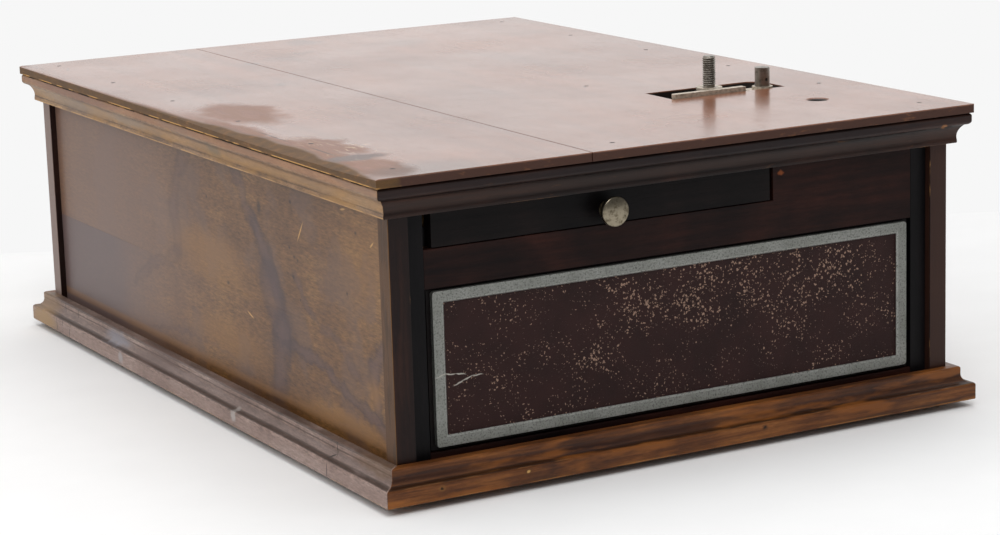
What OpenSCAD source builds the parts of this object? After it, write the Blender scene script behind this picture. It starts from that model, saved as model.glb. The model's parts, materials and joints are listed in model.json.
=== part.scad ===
// Ticket register: a low wooden counter cabinet with a small upper drawer, a till behind a
// cast front plate, and a lever in the top that locks the till.
// Millimetres. Origin on the counter, in the middle of the footprint. Front faces -Y, +Z is up.

/* [Case] */
// Width of the case across the corner posts
case_w = 490; // [470:1:530]
// Depth of the case across the corner posts
case_d = 697; // [660:1:740]
// Height of the corner posts
case_h = 230; // [224:1:250]
// Thickness of a square corner post
post_w = 16; // [15:0.5:20]
// Diameter of a glide where it meets the post
glide_d = 20; // [16:0.5:24]
// Diameter of a glide's foot
glide_foot_d = 16; // [12:0.5:18]
// Height of a glide
glide_h = 6; // [4:0.5:9]

/* [Sides, back and floor] */
// Thickness of a side board
side_t = 9.5; // [8:0.5:11]
// How far the side boards sit behind the posts' faces
side_recess = 5.5; // [4:0.5:7]
// Height of the lower side board
side_lower_h = 82; // [60:1:110]
// Thickness of the back panel
back_t = 9.5; // [8:0.5:10.5]
// How far the back panel sits inside the posts' faces
back_recess = 5.5; // [4:0.5:7]
// Thickness of the tongues on the side boards and the back
tongue_t = 5; // [3.5:0.25:5.5]
// Depth of the side boards' grooves in the posts
side_groove = 5; // [3:0.25:6]
// Depth of the back panel's grooves in the posts
back_groove = 3; // [2:0.25:3]
// Thickness of the floor board
floor_t = 10; // [8:0.5:13]
// Height of the floor board's underside above the posts' feet
floor_rise = 10; // [6:0.5:12]

/* [Front frame] */
// How far the front frame sits behind the posts' faces
frame_recess = 6; // [2:0.5:6.5]
// Width of a stile
stile_w = 14.5; // [12:0.5:18]
// Height of the bottom rail
rail_h = 8.5; // [7:0.5:9.5]
// Height of the upper drawer's opening, from its shelf to the cornice
cut_h = 28; // [24:0.5:32]
// Height of the header board under the upper drawer's shelf
header_under = 20; // [17:0.5:24]
// Width of the header board right of the upper drawer's opening
header_right_w = 129.5; // [122:0.5:140]

/* [Top] */
// Thickness of the top boards
top_t = 7; // [6:0.25:9]
// Overhang of the top past the case
top_overhang = 15; // [12:0.5:20]
// Distance of the top's joint from the middle, on the left
top_joint_x = 86; // [40:1:130]
// Width of the gap in the top's joint
top_joint_gap = 0.8; // [0.4:0.1:1.5]
// Width of a batten under the top
batten_w = 22; // [16:1:30]
// Height of a batten under the top
batten_h = 14; // [11:0.5:18]
// Distance of the front batten's middle from the case's front
batten_inset_front = 263.5; // [240:0.5:290]
// Distance of the rear batten's middle from the case's back
batten_inset_back = 168.5; // [120:0.5:200]
// Diameter of a filled nail hole
nail_d = 4; // [3:0.25:5]
// Depth of a filled nail hole
nail_depth = 2; // [1:0.25:3]
// Distance of the nail rows from the case's sides
nail_inset = 14; // [8:0.5:20]
// Distance of a row's first nail from the case's front
nail_first = 16.5; // [10:0.5:30]
// Distance of a row's last nail from the case's back
nail_last = 10.5; // [8:0.5:30]
// Number of nails in a row
nail_count = 6; // [4:1:8]
// Distance of the nail over the front batten from the middle, to the right
nail_batten_x = 75.6; // [20:0.1:90]
// Distance of the nail over the header board from the middle, to the left
nail_header_x = 53.3; // [20:0.1:80]
// Diameter of the round hole in the top
hole_d = 13; // [10:0.5:16]
// Diameter of the round hole's countersink
hole_sink_d = 19; // [17:0.5:24]
// Depth of the round hole's countersink
hole_sink = 2; // [1:0.25:3]
// Distance of the round hole from the case's right side
hole_inset_x = 65; // [40:0.5:90]
// Distance of the round hole from the case's front
hole_inset_y = 81; // [60:0.5:100]

/* [Base moulding] */
// Projection of the base moulding
base_proj = 17; // [15:0.5:22]
// Height of the base moulding
base_h = 26.2; // [24.5:0.1:27.5]
// Height of its lower step
base_nose_h = 13.5; // [10:0.25:15]
// Projection of its upper step
base_neck = 8.5; // [6:0.25:10]
// Radius of the lower step's edge
base_nose_r = 2; // [1:0.25:3]
// Radius of the upper step's edge
base_neck_r = 1.5; // [0.5:0.25:2.5]

/* [Cornice] */
// Height of the cornice
cornice_h = 23.5; // [20:0.1:24.5]
// Projection of the cornice's nose
cornice_proj = 14; // [12:0.5:15]
// Height of the nose
cornice_nose_h = 8.8; // [7:0.1:10]
// Radius of the nose's upper edge
cornice_top_r = 2; // [1:0.25:3]
// Radius of the nose's lower edge
cornice_under_r = 3; // [1.5:0.25:4]
// Width of the flat between the nose's lower edge and the cove
cornice_quirk = 0.6; // [0.2:0.1:1.5]
// Radius of the cornice's cove
cornice_cove_r = 12.2; // [9:0.1:16]
// Projection of the fillet at the cornice's foot
cornice_foot = 5.9; // [4:0.1:7]
// Height of that fillet
cornice_foot_h = 2.2; // [1.5:0.1:3.5]
// Gap between the cornice and the top
cornice_gap = 0.5; // [0.2:0.1:1]

/* [Shelf and guides] */
// Thickness of the shelf under the upper drawer
shelf_t = 9; // [8:0.5:12]
// Thickness of the partition beside the upper drawer
partition_t = 8; // [6:0.5:8]
// Height of the upper drawer's left guide
guide_h = 14; // [8:0.5:20]
// Length of the upper drawer's stop, front to back
upper_stop_d = 12; // [8:0.5:20]
// Length of the till's stops, front to back
till_stop_d = 14.7; // [10:0.1:20]
// Height of the till's stops
till_stop_h = 34; // [20:1:60]
// Thickness of the till's runners
runner_t = 10.5; // [9.5:0.25:12]
// Width of the till's runners
runner_w = 34; // [30:0.5:40]
// Height of the runners' lips
runner_lip_h = 13.5; // [8:0.5:20]

/* [Upper drawer] */
// Gap left of the upper drawer's front
drawer_gap_left = 6.5; // [5:0.25:8]
// Gap right of the upper drawer's front
drawer_gap_right = 3; // [2:0.25:4.5]
// Gap under the upper drawer's front
drawer_gap_under = 0.8; // [0.4:0.1:1.5]
// Gap between the upper drawer's front and the cornice
drawer_gap_over = 2; // [1:0.25:4]
// Length of the upper drawer's box behind its front
drawer_box_d = 362.5; // [330:0.5:390]
// Thickness of its sides and back
drawer_side_t = 7; // [6:0.5:9]
// How far its left side sits inside its front's edge
drawer_inset = 1.5; // [0:0.25:3]
// How much lower its sides are than its front
drawer_side_drop = 2; // [1:0.25:4]
// Depth of the housings that hold its sides in its front
drawer_housing = 5; // [3:0.25:6]
// Thickness of its bottom
drawer_floor_t = 3; // [2.5:0.25:4]
// Height of its bottom above its sides' lower edges
drawer_floor_rise = 2.7; // [2:0.1:4]
// Depth of the grooves for its bottom
drawer_groove = 3; // [2:0.25:4]
// How far it pulls out
drawer_travel = 300; // [200:1:320]

/* [Knob] */
// Diameter of the knob's face
knob_d = 22.5; // [18:0.25:24]
// Length of the knob
knob_len = 16; // [14:0.25:20]
// Diameter of the knob's neck
knob_neck_d = 9; // [8:0.25:12]
// Diameter of the knob's foot
knob_foot_d = 13; // [12:0.25:16]
// Thickness of the knob's foot
knob_foot_t = 1.6; // [1:0.1:3]
// Radius of the knob's rounded edges
knob_edge_r = 1.2; // [0.5:0.1:1.4]
// Thickness of the knob's rim
knob_rim_t = 4; // [3:0.25:5.5]
// Rise of the knob's domed face
knob_dome = 1.4; // [0.5:0.1:2.5]
// How far the knob sits under the middle of the drawer's front
knob_drop = 1.9; // [0:0.1:2.5]
// Diameter of the knob's screw
knob_screw_d = 4; // [3:0.25:5]
// Diameter of the head of the knob's screw
knob_screw_head_d = 8; // [7:0.25:10]
// Height of the head of the knob's screw
knob_screw_head_h = 2.4; // [1.5:0.1:3]
// Length of the knob's screw inside the knob
knob_screw_in = 9; // [6:0.25:11]

/* [Till] */
// Gap beside the till's front
till_gap_side = 1.8; // [1:0.1:3]
// Gap under and over the till's front
till_gap = 1; // [0.6:0.1:1.4]
// How far the till's front sits behind the frame's face
till_setback = 2.5; // [1:0.25:4]
// Thickness of the till's front
till_front_t = 14; // [11:0.5:15]
// Distance of the till's sides from the edge of its opening
till_inset = 5; // [3:0.25:8]
// Thickness of the till's sides
till_side_t = 10; // [8:0.5:12]
// Depth of the housings that hold the till's sides in its front
till_housing = 6; // [4:0.25:7.5]
// Length of the till's box behind its front
till_box_d = 478; // [460:1:500]
// How far the till's sides stay below the header board
till_side_drop = 19; // [18:0.25:24]
// Thickness of the till's bottom
till_floor_t = 6; // [5:0.25:8]
// Height of the till's bottom above its sides' lower edges
till_floor_rise = 5.2; // [4:0.1:7]
// Depth of the grooves for the till's bottom
till_groove = 4; // [3:0.25:5]
// Thickness of the till's back
till_back_t = 9; // [7:0.5:12]
// How much lower the till's back is than its sides
till_back_drop = 16; // [5:0.5:40]
// How far the till pulls out
till_travel = 360; // [300:1:400]

/* [Cast plate] */
// Thickness of the cast plate
plate_t = 4; // [3.5:0.1:6]
// Margin of the till's front beside the plate
plate_margin_side = 3.2; // [1:0.1:6]
// Margin of the till's front under the plate
plate_margin_under = 2.5; // [1:0.1:5]
// Margin of the till's front over the plate
plate_margin_over = 1; // [0.5:0.1:3]
// Radius of the plate's corners
plate_r = 2.5; // [2:0.25:8]
// Width of the border at the plate's ends
border_side = 9.5; // [8:0.25:14]
// Width of the border along the plate's top
border_over = 9; // [8:0.25:12]
// Width of the border along the plate's foot
border_under = 8.5; // [8:0.25:12]
// Depth of the field inside the border
field_depth = 2; // [1:0.1:2.5]
// Width and depth of the bevel along the border's inner edge
field_bevel = 1.2; // [0.4:0.1:1.8]
// Distance between the columns of screws that hold the plate
plate_screw_pitch = 150; // [100:1:170]
// Diameter of those screws
plate_screw_d = 3.5; // [3:0.25:4.5]
// Diameter of their heads
plate_screw_head_d = 7; // [6:0.25:8]
// Depth of those screws in the plate
plate_screw_in = 2.8; // [2:0.1:3.2]

/* [Coin block and bill trays] */
// Number of coin bowls, and of bill compartments
bowl_count = 5; // [4:1:6]
// Depth of a coin bowl
bowl_depth = 30; // [22:0.5:31]
// Width of the land between two bowls
bowl_land = 5.6; // [3:0.1:9]
// Width of the rim before and behind the bowls
bowl_rim = 8; // [4:0.25:12]
// Height of the coin block
coin_h = 36; // [34:0.5:45]
// Thickness of the two cross rails
bill_rail_t = 6; // [5:0.25:8]
// Height of the two cross rails
bill_rail_h = 62; // [45:1:72]
// Length of the bill compartments
bill_len = 202; // [180:1:215]
// Thickness of the dividers
divider_t = 5; // [3:0.25:7]
// How much lower the dividers are than the rails
divider_drop = 5; // [1:0.5:12]
// Depth of the housings that hold the dividers in the rails
divider_housing = 2; // [1:0.25:3]

/* [Lever] */
// Distance of the lever's pivot from the case's right side
pivot_inset_x = 61; // [60:0.5:64]
// Distance of the lever's pivot from the case's front
pivot_inset_y = 164; // [140:0.5:190]
// How far the lever swings, in degrees
lever_swing = 12; // [8:0.5:12]
// Length of the slot in the top
slot_len = 108.5; // [105:0.5:112]
// Width of the slot in the top
slot_w = 42; // [42:0.5:48]
// Distance of the slot's right end from the pivot
slot_right = 16; // [12:0.5:18]
// Distance of the slot's front edge from the pivot
slot_front = 9.5; // [9.4:0.05:11]
// Radius of the slot's rear right corner
slot_r = 15; // [8:0.5:17]
// Thickness of the lever's web
lever_t = 4; // [3:0.25:5]
// Height of the web above the bearing plate
lever_lift = 1; // [0.5:0.1:1.5]
// Diameter of the lever's web round the pivot
lever_hub_d = 17.4; // [16:0.2:18]
// Diameter of the lever's web round the stud
lever_pad_d = 19; // [15:0.25:20]
// Diameter of the boss round the pivot
boss_d = 17; // [15:0.25:17.25]
// Rise of the boss over the top's surface
boss_rise = 1; // [0.5:0.1:3]
// Diameter of the small hole in the web
web_hole_d = 6.5; // [4:0.25:7]
// Distance of that hole from the pivot
web_hole_x = 14; // [13:0.25:18]
// Distance of the bar's free end from the pivot
bar_far = 91; // [85:0.5:92]
// Distance of the bar's near end from the pivot
bar_near = 22; // [16:0.5:30]
// Thickness of the bar
bar_t = 6.2; // [5:0.1:7]
// Height of the bar
bar_h = 9.5; // [8:0.25:12]
// Distance of the web's left edge from the pivot
web_far = 52; // [46:0.5:56]
// Depth of the web behind the bar
web_d = 21; // [17:0.5:22]

/* [Stud and collar] */
// Diameter of the stud's thread
stud_d = 11.1; // [8:0.1:12]
// How much thicker the stud's shank is than its thread
shank_step = 0.9; // [0.3:0.1:1.5]
// Distance of the stud from the pivot, to the left
stud_x = 43; // [38:0.5:43]
// Distance of the stud from the pivot, to the back
stud_y = 13.5; // [11:0.25:13.5]
// Rise of the stud over the top's surface
stud_rise = 28.5; // [20:0.5:40]
// Diameter of the stud's riveted foot
stud_foot_d = 14; // [13:0.25:16]
// Height of the stud's riveted foot
stud_foot_h = 1.5; // [1:0.1:2.5]
// Diameter of the collar's flange
flange_d = 21.4; // [18:0.1:22]
// Thickness of the collar's flange
flange_t = 2.6; // [2:0.1:4]
// Diameter of the collar's neck
collar_d = 16; // [13:0.25:16.5]

/* [Latch] */
// Diameter of the upright shaft
shaft_d = 13.2; // [11:0.1:13.2]
// How much thinner the short pin over the top is than the shaft
pin_step = 0.9; // [0.7:0.1:2]
// Rise of the short pin over the top's surface
pin_rise = 16.5; // [12:0.5:24]
// Diameter of the cross hole in the short pin
cross_hole_d = 2.4; // [1.5:0.1:4]
// Distance of the cross hole from the pin's end
cross_hole_drop = 9.5; // [5:0.25:10]
// Thickness of the bearing plate
bearing_t = 5; // [4:0.25:7]
// Length of the bearing plate
bearing_len = 66; // [62:0.5:68]
// Width of the bearing plate
bearing_w = 78; // [76:0.5:84]
// Distance of the bearing plate's right end from the pivot
bearing_right = 38; // [35:0.5:40]
// Distance of the bearing plate's front edge from the pivot
bearing_front = 27.5; // [26:0.5:29]
// Distance of the plate's screws from its edges
bearing_screw_inset = 7; // [5:0.25:8]
// Diameter of the plate's screws
bearing_screw_d = 3.5; // [3:0.25:4.5]
// Diameter of the screws' heads
bearing_screw_head_d = 7; // [6:0.25:8]
// Depth of the screws in the top
bearing_screw_in = 3.5; // [2:0.25:4.5]
// Outer diameter of the bush in the shelf
bush_d = 20; // [17:0.5:24]
// Diameter of the bush's flange
bush_flange_d = 30; // [27:0.5:34]
// Thickness of the bush's flange
bush_flange_t = 3; // [2:0.25:5]
// Length of the bush under the shelf
bush_under = 3; // [1:0.25:6]
// Diameter of the dog's hub
dog_hub_d = 22; // [19:0.25:22]
// Thickness of the dog
dog_t = 10.5; // [7:0.25:11]
// Radius of the dog's curved toe
dog_r = 39.2; // [36:0.1:42]
// Width of the dog's arm
dog_arm_w = 12; // [9:0.25:14]
// Length of the dog's toe
dog_toe_len = 12; // [8:0.25:16]
// Gap between the dog's toe and the striker
dog_gap = 0.4; // [0.3:0.05:0.8]
// Gap between the dog's hub and the striker's path
striker_clear = 1.5; // [0.8:0.1:2.5]
// Diameter of the dog's cross pin
dog_pin_d = 3; // [2:0.1:4]
// Gap between the dog and the striker's foot
dog_over = 1; // [0.5:0.1:2]
// Length of the shaft under the dog
shaft_under = 0.5; // [0.2:0.1:0.8]
// Thickness of the striker's foot
striker_t = 2.5; // [2:0.1:3]
// Length of the striker
striker_len = 35; // [25:0.5:50]
// Thickness of the striker's tab
striker_tab_t = 3; // [2:0.1:4]
// Height of the striker's tab over its foot
striker_tab_h = 11.5; // [8:0.25:13]
// Diameter of the spring's wire
wire_d = 1.6; // [1:0.1:2]
// Gap between the spring and the shaft
spring_gap = 1.15; // [0.6:0.05:1.6]
// Number of turns of the spring
spring_turns = 6; // [3:1:8]
// Rise of each turn
spring_pitch = 2.2; // [2.1:0.05:3]
// Length of the spring's straight leg
spring_leg = 9; // [7:0.25:11]
// Distance of the spring's inner end from the shaft's axis
spring_end_r = 2; // [1:0.1:4]
// Angle of the spring's inner end, in degrees
spring_bend = 14; // [10:1:20]
// Diameter of the peg that holds the spring's leg
peg_d = 3; // [2:0.1:4]

/* [Fits] */
// Gap under the sliding drawers and round the lever's boss
slide_gap = 0.3; // [0.2:0.05:0.4]
// Gap between a drawer's side and its guide
guide_gap = 0.8; // [0.5:0.05:1.5]
// Radial clearance of the shaft in its bearings
run_gap = 0.05; // [0.03:0.01:0.08]
// Gap round a tongue in its groove
tongue_gap = 0.1; // [0.05:0.05:0.2]

/* [Hidden] */
$fn = 96;
// How far a cut runs past a face
past = 1;

wood = "#6b3a22";
dark_wood = "#3a1a14";
pale_wood = "#a9824f";
iron = "#6f6a63";
cast_metal = "#a8a7a2";
nickel = "#c9c2ae";

// Levels, from the counter up
z_case = glide_h;
z_floor0 = z_case + floor_rise;
z_floor = z_floor0 + floor_t;
z_rail = z_floor + rail_h;
z_top0 = z_case + case_h;
z_top = z_top0 + top_t;
z_batten0 = z_top0 - batten_h;
z_cornice = z_top0 - cornice_gap - cornice_h;
z_shelf = z_cornice - cut_h;
z_shelf0 = z_shelf - shelf_t;
z_header = z_shelf0 - header_under;
z_side_joint = z_floor + side_lower_h;

// Planes across the width, given for the right-hand side
x_case = case_w / 2;
x_post = x_case - post_w;
x_panel = x_case - side_recess;
x_in = x_panel - side_t;
x_open = x_post - stile_w;
cut_x = x_open - header_right_w;

// Planes along the depth
y_case = case_d / 2;
y_post = y_case - post_w;
y_face = frame_recess - y_case;
y_back = y_case - back_recess;
y_inner = min(y_post, y_back - back_t);
batten_front_y = batten_inset_front - y_case;
batten_rear_y = y_case - batten_inset_back;

// Middle of the tongues
x_tongue = x_panel - side_t / 2;
y_tongue = y_back - back_t / 2;

// Upper drawer
drawer_x0 = drawer_gap_left - x_open;
drawer_x1 = cut_x - drawer_gap_right;
drawer_box_x0 = drawer_x0 + drawer_inset;
drawer_z0 = z_shelf + drawer_gap_under;
drawer_z1 = z_cornice - drawer_gap_over;
drawer_side_z0 = z_shelf + slide_gap;
drawer_side_z1 = drawer_z1 - drawer_side_drop;
drawer_floor_z = drawer_side_z0 + drawer_floor_rise;
drawer_end = drawer_box_d - y_post;
partition_x = drawer_x1 + guide_gap;
knob_pos = [(drawer_x0 + drawer_x1) / 2, (drawer_z0 + drawer_z1) / 2 - knob_drop];

// Till
till_front_x = x_open - till_gap_side;
till_x = x_open - till_inset;
till_in = till_x - till_side_t;
till_z0 = z_rail + till_gap;
till_z1 = z_header - till_gap;
till_y0 = y_face + till_setback;
till_y1 = till_y0 + till_front_t;
till_end = till_y1 + till_box_d;
z_runner = z_floor + runner_t;
till_side_z0 = z_runner + slide_gap;
till_side_z1 = z_header - till_side_drop;
till_floor_z0 = till_side_z0 + till_floor_rise;
till_floor_z = till_floor_z0 + till_floor_t;

// Cast plate
plate_x = till_front_x - plate_margin_side;
plate_z0 = till_z0 + plate_margin_under;
plate_z1 = till_z1 - plate_margin_over;
plate_y = till_y0 - plate_t;
plate_screws_at = [for (i = [-1:1], z = [plate_z0 + border_under / 2, plate_z1 - border_over / 2])
    [i * plate_screw_pitch, z]];

// Coin block and bill trays
tray_pitch = 2 * till_in / bowl_count;
bowl_open_r = (tray_pitch - bowl_land) / 2;
bowl_r = (bowl_open_r * bowl_open_r + bowl_depth * bowl_depth) / (2 * bowl_depth);
coin_d = 2 * (bowl_open_r + bowl_rim);
coin_end = till_y1 + coin_d;
bill_start = coin_end + bill_rail_t;
bill_end = bill_start + bill_len;

// Lever and latch
pivot = [x_case - pivot_inset_x, pivot_inset_y - y_case];
hole = [x_case - hole_inset_x, hole_inset_y - y_case];
stud = pivot + [-stud_x, stud_y];
z_lever = z_top0 + lever_lift;
z_web = z_lever + lever_t;
z_collar = z_top + slide_gap;
z_thread = z_collar + flange_t;
shank_d = stud_d + shank_step;
bearing_x1 = pivot.x + bearing_right;
bearing_y0 = pivot.y - bearing_front;
bearing_screws_at = [for (x = [bearing_screw_inset, bearing_len - bearing_screw_inset],
    y = [bearing_screw_inset, bearing_w - bearing_screw_inset])
    [bearing_x1 - x, bearing_y0 + y]];
tab_from_pivot = dog_hub_d / 2 + striker_clear;
tab_x = pivot.x + tab_from_pivot;
tab_y = pivot.y + sqrt(dog_r * dog_r - tab_from_pivot * tab_from_pivot) + dog_gap;
z_striker = till_side_z1 + striker_t;
z_dog = z_striker + dog_over;
z_shaft0 = z_dog - shaft_under;
z_dog_pin = z_dog + dog_t / 2;
z_flange = z_shelf + bush_flange_t;
spring_r = shaft_d / 2 + spring_gap + wire_d / 2;
z_spring = z_flange + wire_d;

// Filled nail holes: a row along each side, one over the front batten, one over the header
nail_step = (case_d - nail_first - nail_last) / (nail_count - 1);
nails_at = concat(
    [for (side = [-1, 1], i = [0:nail_count - 1])
        [side * (x_case - nail_inset), nail_first - y_case + i * nail_step]],
    [[nail_batten_x, batten_front_y], [-nail_header_x, (y_face - y_post) / 2]]);

// ---- Shared shapes ----

// Block between two corners
module block(low, high) {
    translate(low)
        cube(high - low);
}

// Flat shape drawn in X and Z, as thick as y1 - y0
module upright(y0, y1) {
    translate([0, y1, 0])
        rotate([90, 0, 0])
            linear_extrude(y1 - y0)
                children();
}

// Rectangle with round corners
module round_rect(low, high, r) {
    translate(low + [r, 0])
        square(high - low - [2 * r, 0]);
    translate(low + [0, r])
        square(high - low - [0, 2 * r]);
    for (x = [low.x + r, high.x - r], y = [low.y + r, high.y - r])
        translate([x, y])
            circle(r);
}

// Upright cylinder at a point of the plan
module post_at(at, d, z0, z1) {
    translate([at.x, at.y, z0])
        cylinder(h = z1 - z0, d = d);
}

// Countersunk screw that points up, with its head at the bottom
module screw(d, head_d, length) {
    cylinder(h = length, d = d);
    cylinder(h = (head_d - d) / 2, d1 = head_d, d2 = d);
}

// One mitred run of moulding: a profile in projection and height, along the side of a
// rectangle run_l long that lies run_d from the middle; packed out at the back by pack
module moulding(run_l, run_d, proj, z0, h, pack = 0) {
    l = run_l / 2;
    intersection() {
        translate([0, -run_d / 2, z0])
            rotate([90, 0, 90])
                linear_extrude(run_l + 2 * proj, center = true)
                    mirror([1, 0])
                        children();
        translate([0, -run_d / 2, z0])
            linear_extrude(h)
                polygon([[-l, 0], [l, 0], [l + proj, -proj], [-l - proj, -proj]]);
    }
    if (pack > 0)
        block([post_w - l, -run_d / 2, z0], [l - post_w, pack - run_d / 2, z0 + h]);
}

// Profile of the base moulding: a low step, a cove and a neck
module base_profile() {
    cove_r = base_proj - base_nose_r - base_neck;
    square([base_proj - base_nose_r, base_nose_h]);
    square([base_proj, base_nose_h - base_nose_r]);
    translate([base_proj, base_nose_h] - base_nose_r * [1, 1])
        circle(base_nose_r);
    square([base_neck - base_neck_r, base_h]);
    square([base_neck, base_h - base_neck_r]);
    translate([base_neck, base_h] - base_neck_r * [1, 1])
        circle(base_neck_r);
    difference() {
        square([base_neck + cove_r, base_nose_h + cove_r]);
        translate([base_neck, base_nose_h] + cove_r * [1, 1])
            circle(cove_r);
        translate([base_neck + cove_r, 0])
            square(cove_r);
    }
}

// Centre of an arc of radius r that runs from a to b and bulges to their left
function arc_centre(a, b, r) =
    let (half = (b - a) / 2, span = norm(half), rise = sqrt(r * r - span * span))
    a + half + rise * [half.y, -half.x] / span;

// Profile of the cornice: a fillet, a cove and a round-edged nose
module cornice_profile() {
    nose_z = cornice_h - cornice_nose_h;
    cove_in = cornice_proj - cornice_under_r - cornice_quirk;
    nose_z1 = cornice_h - cornice_top_r;
    square([cornice_foot, cornice_foot_h]);
    difference() {
        translate([0, cornice_foot_h])
            square([cove_in, nose_z - cornice_foot_h]);
        translate(arc_centre([cornice_foot, cornice_foot_h], [cove_in, nose_z], cornice_cove_r))
            circle(cornice_cove_r);
    }
    translate([0, nose_z])
        square([cornice_proj - cornice_under_r, cornice_under_r]);
    translate([0, nose_z + cornice_under_r])
        square([cornice_proj, nose_z1 - nose_z - cornice_under_r]);
    translate([0, nose_z1])
        square([cornice_proj - cornice_top_r, cornice_top_r]);
    translate([cornice_proj - cornice_under_r, nose_z + cornice_under_r])
        circle(cornice_under_r);
    translate([cornice_proj - cornice_top_r, nose_z1])
        circle(cornice_top_r);
}

// Points of a ring of wire round each point of a path that lies nearly flat
function wire_rings(path, r, sides) =
    [for (i = [0:len(path) - 1])
        let (
            along = path[min(i + 1, len(path) - 1)] - path[max(i - 1, 0)],
            out = [along.y, -along.x, 0] / norm([along.x, along.y]),
            up = cross(out, along) / norm(along)
        )
        for (k = [0:sides - 1])
            path[i] + r * (cos(k * 360 / sides) * out + sin(k * 360 / sides) * up)];

// Wire that follows a path
module wire(path, r, sides = 8) {
    n = len(path);
    skin = [for (i = [0:n - 2], k = [0:sides - 1])
        let (a = i * sides + k, b = i * sides + (k + 1) % sides)
        [a, b, b + sides, a + sides]];
    ends = [[for (k = [sides - 1:-1:0]) k], [for (k = [0:sides - 1]) (n - 1) * sides + k]];
    polyhedron(points = wire_rings(path, r, sides), faces = concat(skin, ends), convexity = 10);
}

// ---- Case ----

// The same shape on the right (1) or, mirrored, on the left (-1)
module on_side(side) {
    if (side < 0)
        mirror([1, 0, 0])
            children();
    else
        children();
}

// Corner post, grooved for the side boards and, at the rear, for the back panel
module corner_post(side, rear) {
    color(wood)
        on_side(side)
            mirror([0, rear ? 0 : 1, 0])
                difference() {
                    block([x_post, y_post, z_case], [x_case, y_case, z_top0]);
                    block([x_tongue - tongue_t / 2, y_post - past, z_floor],
                        [x_tongue + tongue_t / 2, y_post + side_groove, z_top0 + past]);
                    if (rear)
                        block([x_post - past, y_tongue - tongue_t / 2, z_floor],
                            [x_post + back_groove, y_tongue + tongue_t / 2, z_top0 + past]);
                }
}

module post_front_left() {
    corner_post(-1, false);
}

module post_front_right() {
    corner_post(1, false);
}

module post_rear_left() {
    corner_post(-1, true);
}

module post_rear_right() {
    corner_post(1, true);
}

// Side board between two levels, with a tongue along both ends
module side_board(side, z0, z1) {
    reach = y_post + side_groove - 2 * tongue_gap;
    color(wood)
        on_side(side) {
            block([x_in, -y_post, z0], [x_panel, y_post, z1]);
            block([x_tongue - tongue_t / 2 + tongue_gap, -reach, z0],
                [x_tongue + tongue_t / 2 - tongue_gap, reach, z1]);
        }
}

module left_side_upper_board() {
    side_board(-1, z_side_joint, z_top0);
}

module left_side_lower_board() {
    side_board(-1, z_floor, z_side_joint);
}

module right_side_upper_board() {
    side_board(1, z_side_joint, z_top0);
}

module right_side_lower_board() {
    side_board(1, z_floor, z_side_joint);
}

module back_panel() {
    reach = x_post + back_groove - 2 * tongue_gap;
    color(wood) {
        block([-x_post, y_back - back_t, z_floor], [x_post, y_back, z_top0]);
        block([-reach, y_tongue - tongue_t / 2 + tongue_gap, z_floor],
            [reach, y_tongue + tongue_t / 2 - tongue_gap, z_top0]);
    }
}

// Floor board, notched round the posts
module bottom_board() {
    color(wood)
        translate([0, 0, z_floor0])
            linear_extrude(floor_t)
                difference() {
                    square([case_w, case_d], center = true);
                    for (x = [-1, 1], y = [-1, 1])
                        translate([x * (x_case + x_post) / 2, y * (y_case + y_post) / 2])
                            square(post_w, center = true);
                }
}

module base_glides() {
    color(iron)
        for (x = [-1, 1], y = [-1, 1])
            translate([x * (x_case + x_post) / 2, y * (y_case + y_post) / 2, 0])
                cylinder(h = glide_h, d1 = glide_foot_d, d2 = glide_d);
}

// ---- Front frame ----

module front_stile(side) {
    color(dark_wood)
        on_side(side)
            block([x_open, y_face, z_floor], [x_post, -y_post, z_top0]);
}

module front_stile_left() {
    front_stile(-1);
}

module front_stile_right() {
    front_stile(1);
}

module bottom_rail() {
    color(dark_wood)
        block([-x_open, y_face, z_floor], [x_open, -y_post, z_rail]);
}

// Header board, cut away over the shelf for the upper drawer
module header_board() {
    color(dark_wood)
        upright(y_face, -y_post)
            polygon([
                [-x_open, z_header], [x_open, z_header], [x_open, z_top0],
                [cut_x, z_top0], [cut_x, z_shelf], [-x_open, z_shelf]
            ]);
}

// ---- Shelf, guides and stops ----

module divider_shelf() {
    color(pale_wood)
        difference() {
            block([-x_in, -y_post, z_shelf0], [x_in, y_inner, z_shelf]);
            post_at(pivot, bush_d, z_shelf0 - past, z_shelf + past);
        }
}

module partition() {
    color(pale_wood)
        block([partition_x, -y_post, z_shelf], [partition_x + partition_t, y_inner, z_batten0]);
}

module upper_drawer_guide() {
    color(pale_wood)
        block([-x_in, -y_post, z_shelf], [drawer_box_x0 - guide_gap, y_inner, z_shelf + guide_h]);
}

// One stop behind the upper drawer, two behind the till
module drawer_stops() {
    color(pale_wood) {
        block([drawer_box_x0, drawer_end + slide_gap, z_shelf],
            [drawer_x1, drawer_end + slide_gap + upper_stop_d, z_shelf + guide_h]);
        for (side = [-1, 1])
            on_side(side)
                block([till_in / 2, till_end + slide_gap, z_floor],
                    [till_in - till_side_t, till_end + slide_gap + till_stop_d, z_floor + till_stop_h]);
    }
}

// L-shaped runners that carry the till's sides and guide them
module till_runners() {
    start = till_y1 + slide_gap;
    color(pale_wood)
        for (side = [-1, 1])
            on_side(side) {
                block([x_in - runner_w, start, z_floor], [x_in, y_inner, z_runner]);
                block([till_x + guide_gap, start, z_runner], [x_in, y_inner, z_runner + runner_lip_h]);
            }
}

// ---- Mouldings ----

module cornice(turn, run_l, run_d, pack) {
    color(wood)
        rotate([0, 0, turn])
            moulding(run_l, run_d, cornice_proj, z_cornice, cornice_h, pack)
                cornice_profile();
}

module cornice_front() {
    cornice(0, case_w, case_d, frame_recess);
}

module cornice_back() {
    cornice(180, case_w, case_d, back_recess);
}

module cornice_right() {
    cornice(90, case_d, case_w, side_recess);
}

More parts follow.
